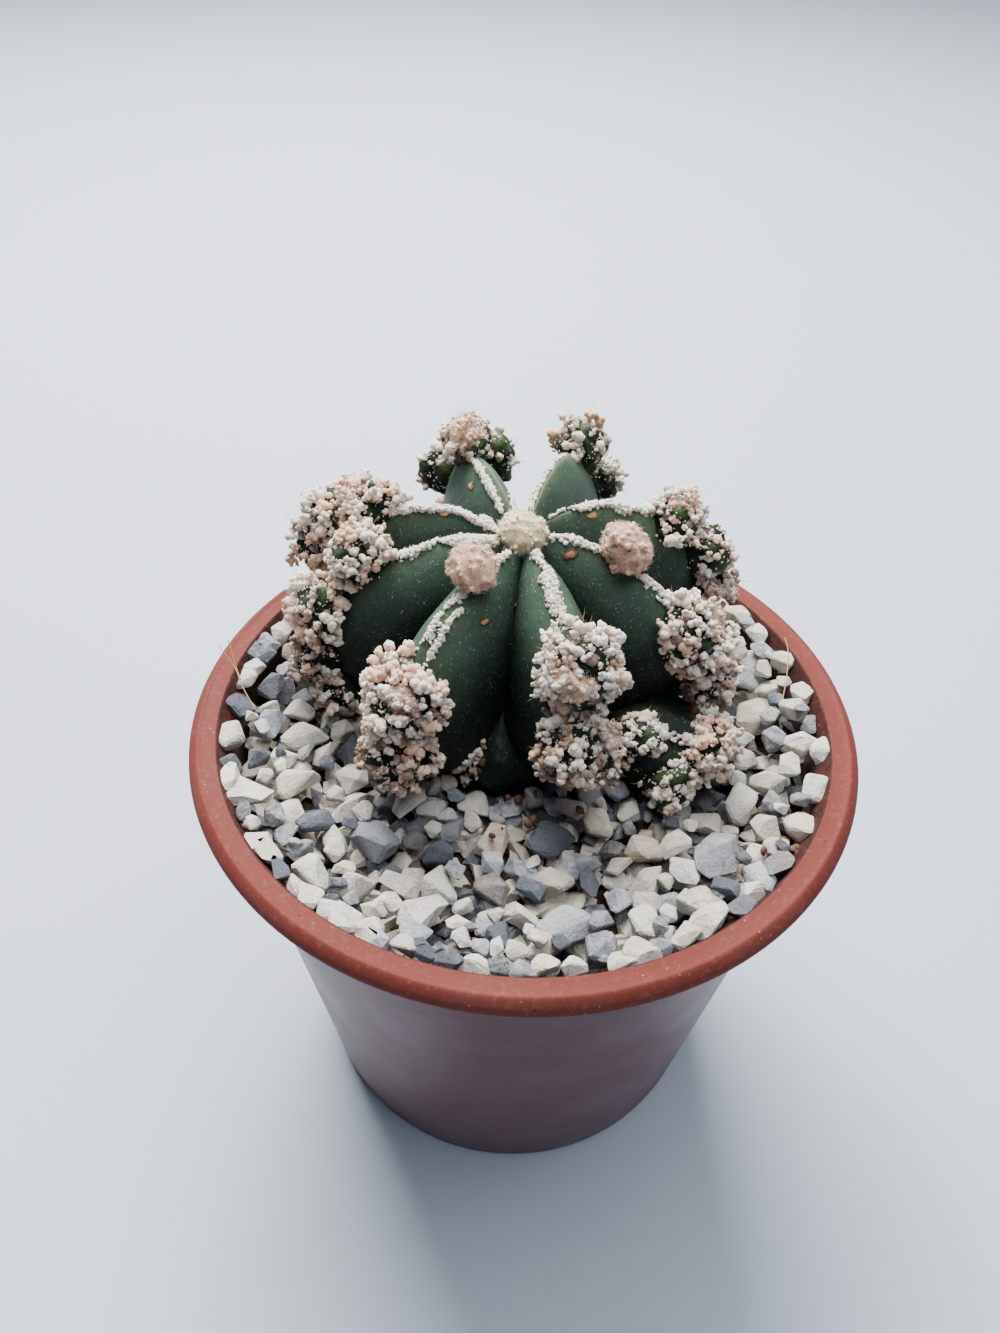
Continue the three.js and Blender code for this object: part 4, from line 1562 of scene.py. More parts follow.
        away = normals[pick] * 0.5 + across[pick] * side
        self.fibres(heap, spot[pick], away, tints[pick], (0.3, 0.85), draw, 0.6)

    def _unbroken(self, rib: Rib, spot: Array) -> Array:
        """How far places on a rib are from a break in its felt: the strand's breaks are below its limit."""
        return waves(spot, 3.2, int(rib.azimuth) + 500)

    def _on_strand(
        self, rib: Rib, strand: Strand, level: Array, aside: Array, rise: float
    ) -> tuple[Array, Array, Array, Array]:
        """Places on a strand.

        Args:
            rib: the rib that it lies on.
            strand: the strand.
            level: where along the rib.
            aside: how far from the strand's middle, in half widths.
            rise: how high its middle stands.

        Returns:
            The places, the directions across, the skin's normals, and how thick the strand is there.
        """
        angle = np.radians(azimuth_at(rib, level))
        thick = 0.85 + 0.3 * np.sin(level * 6.1 + rib.azimuth) * np.sin(level * 2.3 + 1)
        part = (level - strand.start) / (strand.end - strand.start)
        middle = strand.side + (strand.side_end - strand.side) * part
        middle = middle + 0.22 * np.sin(level * 4.3 + rib.azimuth)
        across = np.stack([-np.sin(angle), np.cos(angle), np.zeros(len(level))], -1)
        shift = middle + aside * strand.width * thick
        spot = on_plane(crest_at(rib, level), angle) + across * shift[:, None]
        top = np.sqrt(np.clip(1 - aside**2 * 0.7, 0, 1))
        places, normals = self.stem.settle(spot, rise * top * thick + 0.05)
        return places, unit(across - normals * (across * normals).sum(-1, keepdims=True)), normals, thick

    def cluster(self, heap: Heap, head: PlacedHead, draw: Chance) -> None:
        """Adds a head of small tufts round a fluffy middle, and its spines."""
        middle = unit(head.facing + draw.normal(size=3) * 0.35)
        capped = head.kind is HeadKind.CAPPED
        if capped:
            middle = unit(np.array(self.cap_way))
        core = head.size * CORES.get(head.kind, self.core)
        tint = (0.6, 0.25) if head.kind is HeadKind.AGED else (0.75, 0.0)
        if core:
            out = head.size * (0.36 if capped else 0.6)
            self.fluff(heap, head.centre + middle * out, middle, core, tint, draw, head.seed)
            self._hollows(heap, head, draw)
        self._cords(heap, head, draw, middle, core)
        self._crust(heap, head, draw)

    def _crust(self, heap: Heap, head: PlacedHead, draw: Chance) -> None:
        """Adds fine grains of wool on the green skin of a head, in patches."""
        ways = unit(draw.normal(size=(int(26 * head.size**2), 3)) + head.facing * 0.4)
        places, _ = self.stem.knob_skin(head, ways)
        ways = ways[waves(places, 1.2, head.seed + 30) > -0.1]
        places, _ = self.stem.knob_skin(head, ways)
        small = draw.uniform(0.08, 0.2, (len(ways), 1)) * draw.uniform(0.7, 1.4, (len(ways), 3))
        tints = tints_of(len(ways), draw, (0, 0.4), (0, 0.35), 1)
        heap.scatter(self.grain, places + ways * 0.04, standing(ways, draw) * small[:, None, :], tints)

    def _hollows(self, heap: Heap, head: PlacedHead, draw: Chance) -> None:
        """Adds dark brown wool deep inside a head and in its holes: painted shade in the gaps between the
        tufts.
        """
        ways = spread_ways(int(2.6 * head.size**2), draw, 0.8)
        ways = ways[ways @ head.facing > -0.5]
        count = len(ways)
        places = head.centre + ways * (head.size * draw.uniform(0.66, 0.8, count))[:, None]
        tints = tints_of(count, draw, 0.4, (0.7, 1), (0, 0.4))
        self.tufts(heap, places, ways, draw.uniform(0.4, 0.8, count), tints, draw, True)
        ways = unit(np.random.default_rng(head.seed).normal(size=(self.hole_lumps, 3)))
        places = head.centre + ways * head.size * self.hole_depth
        inside = ~self._outside_holes(places, ways)
        ways, places = ways[inside], places[inside]
        # painted shade: dark lumps fill the holes
        tints = np.tile(self.hole_shade_tint, (len(ways), 1))
        self.tufts(heap, places, ways, np.full(len(ways), 0.5), tints, draw, True)

    def _cords(
        self, heap: Heap, head: PlacedHead, draw: Chance, middle: Array, core: float
    ) -> None:
        """Adds the outer tufts of a head, which run together into short cords, and the spines on them.

        Args:
            heap: the heap that they go to.
            head: the head.
            draw: the source of chance.
            middle: the direction of the fluffy middle, which stays clear.
            core: the fluffy middle's radius.
        """
        old = head.kind is HeadKind.AGED
        lobed = head.kind is HeadKind.LOBED
        spacing = self.tuft_spacing * (self.back_spacing if head.centre[1] > self.back else 1)
        ways = spread_ways(int(4 * math.pi * head.size**2 / (spacing**2 * 0.87)), draw, 0.5)
        spots = head.centre + ways * head.size
        cord = np.abs(waves(spots, 1.7, head.seed + 11))
        lone = draw.uniform(0, 1, len(ways)) < 0.07
        aside = np.linalg.norm(ways * head.size - middle * head.size * 0.7, axis=1)
        clear = (aside > core) | (draw.uniform(0, 1, len(ways)) < 0.4)
        keep = (ways @ head.facing > -0.5) & ((cord < (0.3 if lobed else 0.42)) | lone) & clear
        ways, lone = ways[keep], lone[keep]
        count = len(ways)
        swell = waves(head.centre + ways * head.size, 3.4, head.seed)
        out = head.size * 0.9 + swell * 0.55 + draw.uniform(-0.3, 0.45, count) + lone * 0.35
        places = head.centre + ways * out[:, None]
        if lobed:
            places = self.stem.knob_skin(head, ways)[0] + ways * draw.uniform(0, 0.3, (count, 1))
        warm = draw.normal(0.12 + draw.uniform(0, 0.25), 0.2, count) + np.clip(-ways[:, 2], 0, 1) * 0.25
        warm = np.clip(warm + smooth(waves(places, 2.6, head.seed + 2), 0.0, 0.9) * 0.6, 0, 1)
        # painted shade: tufts that face down or sit lower are tinted darker and browner, on top of the aged
        # heads' stain and random stains
        grime_and_shade = (0.42 if old else 0.0) * draw.uniform(0.3, 1.6, count) + np.clip(-ways[:, 2], 0, 1) * 0.2
        stained = (draw.uniform(0, 1, count) < 0.14) * draw.uniform(0.1, 0.5, count)
        grime_and_shade = grime_and_shade + smooth(-swell, 0.1, 1) * 0.25 + stained
        tints = np.stack([warm, grime_and_shade, draw.uniform(0.45, 1, count)], -1)
        shown = self._outside_holes(places, ways)
        places, ways, tints, lone = places[shown], ways[shown], tints[shown], lone[shown]
        count = len(places)
        size = np.clip(draw.lognormal(-0.88, 0.34, count), 0.22, 0.85) + lone * 0.12
        self.tufts(heap, places, ways, size, tints, draw)
        self._spines(places, ways, size, draw)

    def _outside_holes(self, places: Array, ways: Array) -> Array:
        """Which tufts leave the dark holes of the heads open, by their places and the ways that they face."""
        shown = np.ones(len(places), bool)
        for hole in self.holes:
            start, sight = self.view.ray(hole.across, hole.down)
            off = places - start
            aside = np.linalg.norm(off - (off @ sight)[:, None] * sight, axis=1)
            shown &= (aside > hole.radius) | (ways @ sight > 0.1)
        return shown

    def _spines(
        self, places: Array, ways: Array, size: Array, draw: Chance
    ) -> None:
        """Adds fine spines that stand out of the tufts of a head."""
        pick = draw.choice(len(places), min(len(places), self.head_spines), replace=False)
        lean = unit(ways[pick] + draw.normal(size=(len(pick), 3)) * 0.3)
        long = draw.uniform(1.1, 2.6, (len(pick), 1))
        sizes = np.concatenate([np.full((len(pick), 2), 0.055), long], 1)
        tip = self.thorn.corners[:, 2] > 0.5
        tints = np.zeros((len(pick), len(tip), 3))
        tints[:, tip, 0] = 0.9
        tints[:, ~tip, 0] = 0.15
        tints[..., 2] = 0.8
        roots = places[pick] + ways[pick] * size[pick][:, None]
        self.spines.scatter(self.thorn, roots - lean * 0.3, standing(lean, draw) * sizes[:, None, :], tints)

    def head(self, heap: Heap, head: PlacedHead, draw: Chance) -> None:
        """Adds the wool of one head."""
        if head.kind is HeadKind.FLUFFY:
            self.fluff(heap, head.centre, head.facing, head.size * 0.98, (0.8, -0.35), draw, head.seed, 0.17)
        else:
            self.cluster(heap, head, draw)

    def rib(self, rib: Rib, heads: list[PlacedHead], material: bpy.types.Material) -> bpy.types.Object:
        """The wool of a main rib as a piece."""
        draw = np.random.default_rng(SEED + int(rib.azimuth) + 400)
        heap = Heap()
        for strand in rib.strands:
            self.strip(heap, rib, strand, draw)
        for head in heads:
            self.head(heap, head, draw)
        return finish_piece(heap.mesh(f"felt_{rib.name}"), material, [f"wool_{rib.name}"])

    def foot(self, foot: FootRib, heads: list[PlacedHead], material: bpy.types.Material) -> bpy.types.Object:
        """The wool of a foot rib as a piece."""
        draw = np.random.default_rng(SEED + int(foot.azimuth) + 900)
        heap = Heap()
        knots = np.array(foot.line, float)
        count = int(np.linalg.norm(np.diff(knots, axis=0), axis=1).sum() * self.foot_tufts)
        spots = through_space(knots, draw.uniform(0, len(knots) - 1, count))
        ways = np.array([foot.way(spot) for spot in spots])
        guess = foot.centre() + ways * np.linalg.norm(spots, axis=1)[:, None]
        guess = guess + draw.normal(size=(count, 3)) * 0.4
        places, normals = self.stem.settle(guess, draw.uniform(0.0, 0.3, count))
        tints = tints_of(count, draw, 0.25, (0.1, 0.8), (0.4, 1))
        self.tufts(heap, places, normals, draw.uniform(0.2, 0.42, count), tints, draw)
        for head in heads:
            self.head(heap, head, draw)
        return finish_piece(heap.mesh(f"felt_{foot.name}"), material, [f"wool_{foot.name}"])

    def crown(self) -> bpy.types.Object:
        """The cream ball of wool at the crown as a piece."""
        draw = np.random.default_rng(SEED + 5)
        heap = Heap()
        spot = np.array([PLANT[0], PLANT[1], CROWN_HEIGHT - CROWN_RADIUS + 0.2])
        self.fluff(heap, spot, UP, CROWN_RADIUS * 0.9, (0.0, -0.6), draw, 31, 0.13)
        cream_wool = PlantWool(
            "crown_wool", (1.0, 0.84, 0.58), cream=(1.0, 0.74, 0.45), softness=0.5, least=0.98, pits=0.04
        )
        return finish_piece(heap.mesh("crown_tuft"), cream_wool.build(), ["wool_crown"])

    def build(self, rib_heads: list[list[PlacedHead]], foot_heads: list[list[PlacedHead]]) -> None:
        """All the wool, and the spines."""
        material = PlantWool().build()
        for rib, heads in zip(RIBS, rib_heads):
            self.rib(rib, heads, material)
        for foot, heads in zip(FOOT_RIBS, foot_heads):
            self.foot(foot, heads, material)
        self.crown()
        finish_piece(self.spines.mesh("fine_spines"), DryHusk("spine_straw").build())


def through_space(knots: Array, spot: Array) -> Array:
    """Places along straight runs between the knots."""
    i = np.minimum(spot.astype(int), len(knots) - 2)
    t = (spot - i)[:, None]
    return knots[i] * (1 - t) + knots[i + 1] * t


# Soil and stones


@dataclass(frozen=True)
class Soil:
    """The soil that fills the pot under the stones."""

    pot: Pot
    top: float = 58.2
    gap: float = 0.15
    steps: int = 64
    crumbs: int = 500

    def build(self) -> bpy.types.Object:
        """The soil as a piece."""
        low = self.pot.floor_top + self.gap
        inset = self.pot.wall + self.gap
        rings = [(r, self.top) for r in np.linspace(0, self.pot.wall_radius(self.top, inset) - 0.6, 20)]
        outline = [
            (0, low),
            (self.pot.wall_radius(low, inset) - 1.4, low),
            (self.pot.wall_radius(low + 1, inset), low + 1),
            (self.pot.wall_radius(self.top - 1, inset), self.top - 1),
            *reversed(rings),
        ]
        form = Form.of(spun(outline, self.steps))
        height = form.corners[:, 2]
        crumb = waves(form.corners, 1.6, 12) * 0.35 + waves(form.corners, 0.8, 13) * 0.2
        form.corners[:, 2] += np.where(height > self.top - 0.5, crumb, 0)
        heap = Heap()
        heap.add(form, np.zeros(3))
        self._crumbs(heap)
        return finish_piece(heap.mesh("potting_soil"), DampSoil().build(), ["soil"])

    def _crumbs(self, heap: Heap) -> None:
        """Adds loose crumbs on top."""
        draw = np.random.default_rng(SEED + 21)
        count = self.crumbs
        out = (self.pot.wall_radius(self.top, self.pot.wall) - 1) * np.sqrt(draw.uniform(0.1, 1, count))
        angle = draw.uniform(0, 2 * math.pi, count)
        size = draw.uniform(0.3, 0.9, count)
        places = np.stack([out * np.cos(angle), out * np.sin(angle), self.top + size * 0.4], -1)
        axes = standing(unit(draw.normal(size=(count, 3))), draw) * size[:, None, None]
        heap.scatter(Form.ball(1), places, axes, np.zeros((count, 3)), 0.15, 0.5)


@dataclass(frozen=True)
class NamedStone:
    """A stone that stands out in the photograph, by the pixel of its middle."""

    across: int
    down: int
    half: Triple
    turn: float
    kind: StoneKind
    shade: float = 0.5
    warmth: float = 0.1
    dust: float = 0.5
    lift: float = 0.3


P, S = StoneKind.PALE, StoneKind.SLATE
NAMED_STONES = tuple(NamedStone(*row) for row in (
    (440, 848, (2.1, 1.7, 2.3), 0.3, S, 0.0, 0.0, 0.0, 1.2),
    (494, 831, (2.8, 2.2, 1.7), 0.1, P, 0.5, 1.0, 0.2, 0.6),
    (546, 824, (3.6, 3.2, 1.6), 0.5, S, 0.1, 0.1, 0.1),
    (598, 816, (2.7, 2.2, 1.7), 0.2, P, 0.4, 0.7, 0.4, 0.6),
    (643, 841, (2.8, 2.0, 1.6), -0.1, P, 0.2, 1.3, 0.1, 0.6),
    (568, 916, (3.9, 2.9, 2.0), 0.1, S, 0.9, 0.0, 1.0, 0.8),
    (422, 912, (2.9, 2.6, 2.0), 0.9, P, 0.8, 0.0, 0.7, 0.7),
    (355, 882, (2.2, 1.9, 2.3), 0.4, P, 0.3, 0.1, 0.3, 0.8),
    (244, 804, (3.3, 3.0, 1.8), 0.0, P, 0.7, 0.1, 0.6, 0.6),
    (303, 727, (3.2, 2.3, 1.9), 0.2, P, 0.6, 0.3, 0.6, 0.7),
    (720, 847, (3.2, 2.8, 1.7), 0.8, S, 0.7, 0.0, 0.8, 0.5),
    (756, 887, (2.1, 2.4, 1.9), 0.3, S, 0.8, 0.0, 0.9, 0.6),
    (594, 957, (3.0, 2.2, 1.5), 0.4, S, 0.5, 0.0, 0.5, 0.4),
    (639, 928, (2.8, 2.2, 1.6), 0.6, P, 0.8, 0.1, 0.7, 0.5),
    (710, 929, (2.9, 2.1, 1.6), 0.1, P, 0.7, 0.1, 0.6, 0.4),
    (555, 874, (2.4, 2.1, 1.6), 1.2, P, 0.1, 0.4, 0.1, 0.4),
    (576, 855, (3.0, 2.0, 1.5), 0.3, S, 0.7, 0.1, 0.6, 0.4),
    (492, 881, (2.3, 2.2, 1.6), 0.9, S, 0.5, 1.0, 0.4, 0.4),
    (500, 937, (2.2, 1.6, 1.2), 0.7, S, 0.1, 0.0, 0.2),
    (294, 780, (3.9, 1.9, 1.6), 0.1, P, 0.5, 0.2, 0.4, 0.5),
    (260, 756, (3.2, 1.3, 1.5), 1.4, S, 0.4, 0.0, 0.4, 0.4),
    (239, 711, (3.0, 2.4, 1.7), 0.4, S, 0.1, 0.0, 0.1, 0.5),
    (230, 745, (2.0, 2.5, 1.8), 0.0, P, 0.8, 0.4, 0.5, 0.7),
    (232, 773, (2.1, 1.5, 1.4), 0.2, S, 0.1, 0.0, 0.1, 0.3),
    (315, 818, (3.6, 1.4, 1.3), 0.5, S, 0.3, 0.0, 0.3, 0.4),
    (313, 877, (2.6, 2.6, 1.8), 0.3, P, 0.6, 0.0, 0.4, 0.5),
    (745, 679, (2.7, 1.9, 1.4), 0.0, S, 0.9, 0.0, 0.9, 0.3),
    (803, 832, (2.7, 2.2, 1.7), 0.3, P, 0.4, 0.5, 0.5, 0.4),
    (809, 792, (2.6, 2.6, 1.6), 0.6, P, 0.8, 0.1, 0.7, 0.4),
    (769, 783, (2.3, 1.9, 1.4), 0.2, P, 0.6, 0.1, 0.5, 0.4),
    (766, 828, (1.9, 2.1, 1.5), 0.9, P, 0.0, 0.2, 0.2, 0.4),
    (822, 759, (1.9, 2.2, 1.7), 0.1, P, 0.8, 0.1, 0.7, 0.6),
    (801, 751, (2.4, 1.9, 1.6), 0.2, P, 0.8, 0.1, 0.7, 0.4),
    (794, 716, (2.3, 1.7, 1.5), 0.1, P, 0.8, 0.2, 0.6, 0.3),
    (784, 669, (2.4, 1.8, 1.6), 0.3, P, 0.7, 0.3, 0.6, 0.4),
    (773, 740, (2.0, 1.8, 1.4), 0.5, S, 0.7, 0.0, 0.6, 0.3),
    (741, 751, (2.4, 2.1, 1.5), 0.4, P, 0.8, 0.1, 0.6, 0.4),
))


Laid = tuple[Array, Array, float]


@dataclass
class Gravel:
    """The top dressing: stone chips dropped one by one into the pot, pale and slate.

    A laid stone is the place of its middle, its half sizes and its turn about the vertical. The surface
    rises from low at the plant by wall_rise at the wall, less back_drop at the back. Wall stones keep
    clear of the named ones, and the bed leaves a bare round spot under the plant. The bed's stones are
    painted darker, as shade in the gaps.
    """

    pot: Pot
    stem: Stem
    heads: list[PlacedHead]
    view: PhotoView
    level: float = 62.8
    low: float = 61.9
    wall_rise: float = 3.2
    back_drop: float = 1.1
    clear: float = 2.4
    bare: float = 15
    cell: float = 0.35
    reach: float = 39
    bed: float = 57.6
    slate_share: float = 0.3
    # The bed takes more slate and a dark tint: painted shade in the gaps between the stones above.
    bed_slate_share: float = 0.45
    bed_shade_tint: Triple = (0.25, 0.25, 0.4)
    tries: int = 36000
    templates: int = 18
    bed_spacing: float = 2.3
    settle: float = 0.25
    fullness: float = 1.2
    tilt: float = 0.16
    highest: float = 65.6
    rim_stones: int = 92
    hollows: tuple[Pair, ...] = ((329.0, 5.0), (18.0, 6.0))
    line: Array = field(init=False)
    x: Array = field(init=False)
    y: Array = field(init=False)
    top: Array = field(init=False)
    ceiling: Array = field(init=False)
    target: Array = field(init=False)

    def __post_init__(self) -> None:
        """Sets up the heights of the bed, of what stands over it, and of the finished surface."""
        self.line = np.arange(-self.reach, self.reach + self.cell, self.cell)
        self.x, self.y = np.meshgrid(self.line, self.line, indexing="ij")
        out = np.hypot(self.x, self.y)
        self.top = np.full(self.x.shape, self.bed)
        self.ceiling = np.where(out < self.pot.wall_radius(62, self.pot.wall) + 0.9, 70.0, 0.0)
        self._cast_shadows()
        wall = smooth(out, 26, 38)
        back = smooth(self.y, 12, 32)
        self.target = self.low + wall * (self.wall_rise - self.back_drop * back)

    def _cast_shadows(self) -> None:
        """Lowers the ceiling to the underside of the stem and of the heads."""
        near = np.argwhere(np.hypot(self.x - PLANT[0], self.y - PLANT[1]) < 32)
        for i, j in near:
            start = Vector((self.x[i, j], self.y[i, j], self.bed - 1))
            spot, normal, _, _ = self.stem.tree.ray_cast(start, Vector((0, 0, 1)), 20)
            if spot is not None:
                under = 0 if normal.z > 0 else spot.z
                self.ceiling[i, j] = min(self.ceiling[i, j], under)
        for head in self.heads:
            reach = head.size * 1.02
            aside = np.hypot(self.x - head.centre[0], self.y - head.centre[1])
            inside = aside < reach
            under = head.centre[2] - np.sqrt(np.maximum(reach**2 - aside**2, 0))
            self.ceiling = np.where(inside, np.minimum(self.ceiling, under), self.ceiling)

    def chips(self, points: int, worn: bool) -> list[Form]:
        """Template stones.

        Args:
            points: how many corners a stone's hull is drawn round.
            worn: whether its edges are bevelled.

        Returns:
            The stones, about 1 in radius.
        """
        draw = np.random.default_rng(SEED + points)
        forms = []
        for _ in range(self.templates):
            bm = bmesh.new()
            for way in spread_ways(points, draw, 0.9):
                bm.verts.new(way * draw.uniform(0.84, 1.08))
            hull = bmesh.ops.convex_hull(bm, input=bm.verts)
            spare = [g for g in hull["geom_interior"] if isinstance(g, bmesh.types.BMVert)]
            bmesh.ops.delete(bm, geom=spare, context="VERTS")
            bm = in_order(bm)
            if worn:
                bmesh.ops.dissolve_limit(bm, angle_limit=0.35, verts=bm.verts, edges=bm.edges)
                bmesh.ops.bevel(
                    bm, geom=bm.edges, offset=0.1, offset_type="OFFSET", segments=1, profile=0.5,
                    affect="EDGES", material=-1, clamp_overlap=True,
                )
            bmesh.ops.recalc_face_normals(bm, faces=bm.faces)
            forms.append(Form.of(bm))
        return forms

    def _try(
        self, x: float, y: float, half: Array, turn: float, forced: bool = False
    ) -> Optional[tuple[float, tuple, Array]]:
        """Drops a stone at a place.

        Args:
            x: the place from left to right.
            y: the place from front to back.
            half: its half sizes.
            turn: its turn about the vertical.
            forced: whether it goes there even if something is in its way.

        Returns:
            The height of its middle, the cells that it covers and its half thickness over them, or None.
        """
        reach = max(half[:2])
        i0, i1 = np.searchsorted(self.line, (x - reach, x + reach))
        j0, j1 = np.searchsorted(self.line, (y - reach, y + reach))
        patch = (slice(i0, i1), slice(j0, j1))
        dx, dy = self.x[patch] - x, self.y[patch] - y
        c, s = math.cos(turn), math.sin(turn)
        r2 = ((dx * c + dy * s) / half[0]) ** 2 + ((-dx * s + dy * c) / half[1]) ** 2
        covered = r2 < 1
        if not covered.any():
            return None
        thick = half[2] * np.sqrt(np.maximum(1 - r2, 0))
        touching = np.sort((self.top[patch] + thick)[covered])
        middle = float(touching[int(len(touching) * 0.93)]) - self.settle
        blocked = covered & (middle + thick * 0.9 > self.ceiling[patch])
        if blocked.any() and not forced:
            return None
        return middle, patch, np.where(covered, thick, -99)

    def _lay(self, place: tuple, half: Array, turn: float, patch: tuple, thick: Array) -> Laid:
        """Leaves a dropped stone where it is, so that what comes later lies on top of it."""
        self.top[patch] = np.maximum(self.top[patch], place[2] + thick)
        return np.array(place), half, turn

    def _drop_all(self) -> list[Laid]:
        """Drops stones until there is no room."""
        draw = np.random.default_rng(SEED + 41)
        reach = self.pot.wall_radius(62, self.pot.wall) - 0.2
        laid = []
        for attempt in range(self.tries):
            done = attempt / self.tries
            size = (1 - done) ** 0.8 * draw.uniform(1.7, 4.3) + done * draw.uniform(0.8, 1.8)
            half = size * draw.uniform((0.95, 0.75, 0.5), (1.35, 1.0, 0.8))
            rim_share = 0.8 if draw.uniform() < 0.3 else 0
            out = reach * math.sqrt(draw.uniform(rim_share, 1))
            angle = draw.uniform(0, 2 * math.pi)
            turn = draw.uniform(0, math.pi)
            x, y = out * math.cos(angle), out * math.sin(angle)
            dropped = self._try(x, y, half, turn)
            if dropped is None:
                continue
            middle, patch, thick = dropped
            i, j = np.searchsorted(self.line, (x, y))
            if middle + half[2] > self.target[i, j] + draw.uniform(0, 1.1):
                continue
            laid.append(self._lay((x, y, middle), half, turn, patch, thick))
        return laid

    def _place_named(self) -> list[Laid]:
        """Lays the stones that stand out in the photograph."""
        laid = []
        for stone in NAMED_STONES:
            x, y, _ = self.view.at_height(stone.across, stone.down, self.level)
            i, j = np.searchsorted(self.line, (x, y))
            half = np.array(stone.half)
            middle = min(self.target[i, j] + stone.lift - half[2] * 0.9, self._room(x, y) - half[2])
            _, patch, thick = self._try(x, y, half, stone.turn, True)
            laid.append(self._lay((x, y, middle), half, stone.turn, patch, thick))
        return laid

    def _line_wall(self) -> list[Laid]:
        """Lays stones along the pot's wall, up to its rim."""
        draw = np.random.default_rng(SEED + 44)
        reach = self.pot.wall_radius(62, self.pot.wall)
        named = [self.view.at_height(stone.across, stone.down, self.level) for stone in NAMED_STONES]
        laid = []
        for order in range(self.rim_stones):
            angle = order / self.rim_stones * 2 * math.pi + draw.uniform(-0.02, 0.02)
            half = draw.uniform(1.3, 2.1) * np.array([draw.uniform(0.85, 1.1), draw.uniform(0.9, 1.3), 0.85])
            out = reach + draw.uniform(-0.3, 0.4)
            x, y = out * math.cos(angle), out * math.sin(angle)
            taken = min(math.hypot(x - spot[0], y - spot[1]) for spot in named) < self.clear
            degrees = math.degrees(angle)
            if taken or any(abs(degrees - middle) < width for middle, width in self.hollows):
                continue
            i, j = np.searchsorted(self.line, (x, y))
            middle = self.target[i, j] + draw.uniform(-0.7, -0.1)
            if middle + half[2] > self._room(x, y):
                continue
            _, patch, thick = self._try(x, y, half, angle, True)
            laid.append(self._lay((x, y, middle), half, angle, patch, thick))
        return laid

    def _lay_bed(self) -> list[Laid]:
        """Lays an even bed of small stones that hides the soil."""
        draw = np.random.default_rng(SEED + 43)
        line = np.arange(-38, 38, self.bed_spacing)
        laid = []
        for x, y in np.array(np.meshgrid(line, line)).reshape(2, -1).T:
            x, y = x + draw.uniform(-0.6, 0.6), y + draw.uniform(-0.6, 0.6)
            beside = math.hypot(x - PLANT[0], y - PLANT[1]) > self.bare
            if math.hypot(x, y) > self.pot.wall_radius(60, self.pot.wall) - 0.8 or not beside:
                continue
            half = draw.uniform(1.5, 2.1) * np.array([1.0, draw.uniform(0.75, 1), draw.uniform(0.6, 0.8)])
            middle = min(self.bed + 1 + draw.uniform(0, 0.9), self._room(x, y) - half[2])
            laid.append((np.array([x, y, middle]), half, draw.uniform(0, math.pi)))
        return laid

    def _room(self, x: float, y: float) -> float:
        """The height of what hangs over a place."""
        i, j = np.clip(np.searchsorted(self.line, (x, y)), 1, len(self.line) - 2)
        over = self.ceiling[i - 1 : i + 2, j - 1 : j + 2]
        return float(over[over > 0].min(initial=70))

    def _kept_in(self, form: Form) -> Form:
        """Moves corners that would stand in the pot's wall inwards."""
        x, y, z = form.corners.T
        limit = self.pot.wall_radius(z, self.pot.wall) + 0.2 + 1.2 * smooth(z, 62.4, 65.0)
        out = np.hypot(x, y)
        inward = np.minimum(limit / np.maximum(out, 1e-6), 1)
        corners = np.stack([x * inward, y * inward, np.minimum(z, self.highest)], -1)
        return Form(corners, form.faces)

    def _either_kind(self, draw: Chance, slate_share: float) -> StoneKind:
        """One of the two kinds by chance."""
        return StoneKind.SLATE if draw.uniform() < slate_share else StoneKind.PALE

    def build(self) -> None:
        """The two sorts of stone as two pieces."""
        draw = np.random.default_rng(SEED + 42)
        heaps = {kind: Heap() for kind in StoneKind}
        rough_forms = self.chips(8, False)
        bed = self._lay_bed()
        self.top += 2.0
        named = self._place_named()
        laid = named + self._line_wall() + self._drop_all()
        forms = self.chips(12, True)
        for order, (place, half, turn) in enumerate(bed + laid):
            kind = self._either_kind(draw, self.slate_share)
            tilt = Matrix.Rotation(draw.normal() * self.tilt, 3, "X")
            tilt = tilt @ Matrix.Rotation(draw.normal() * self.tilt, 3, "Y")
            axes = np.array(Matrix.Rotation(turn, 3, "Z") @ tilt) * (half * self.fullness)
            tint = np.array([draw.uniform(), max(draw.normal() * 0.4, 0), draw.uniform()])
            # painted shade: the bed's stones take a darker tint and more slate, for the shade in the gaps
            if order < len(bed):
                kind = self._either_kind(draw, self.bed_slate_share)
                tint = np.array(self.bed_shade_tint)
            if 0 <= order - len(bed) < len(named):
                stone = NAMED_STONES[order - len(bed)]
                kind, tint = stone.kind, np.array([stone.shade, stone.warmth, stone.dust])
            pick = rough_forms if order < len(bed) else forms
            form = pick[draw.integers(len(pick))]
            heaps[kind].add(self._kept_in(Form(form.corners @ axes.T + place, form.faces)), tint)
        log.info("%d stones on a bed of %d", len(laid), len(bed))
        for chalk, slot in ((PALE_CHALK, "pale"), (SLATE_CHALK, "grey")):
            mesh = heaps[chalk.kind].mesh(f"stones_{chalk.kind.value}")
            finish_piece(mesh, chalk.build(), [f"gravel_{slot}"], False)


# Small dry things


@dataclass(frozen=True)
class Flake:
    """A dry flake, scar or seed on the skin, by the pixel of its middle; sizes in millimetres."""

    across: int
    down: int
    half: Triple
    turn: float = 0.0
    brown: float = 0.3


@dataclass(frozen=True)
class DryFibre:
    """A dry fibre, by the pixels and the heights that it passes."""

    name: str
    knots: tuple[tuple[int, int, float], ...]
    radius: float = 0.07


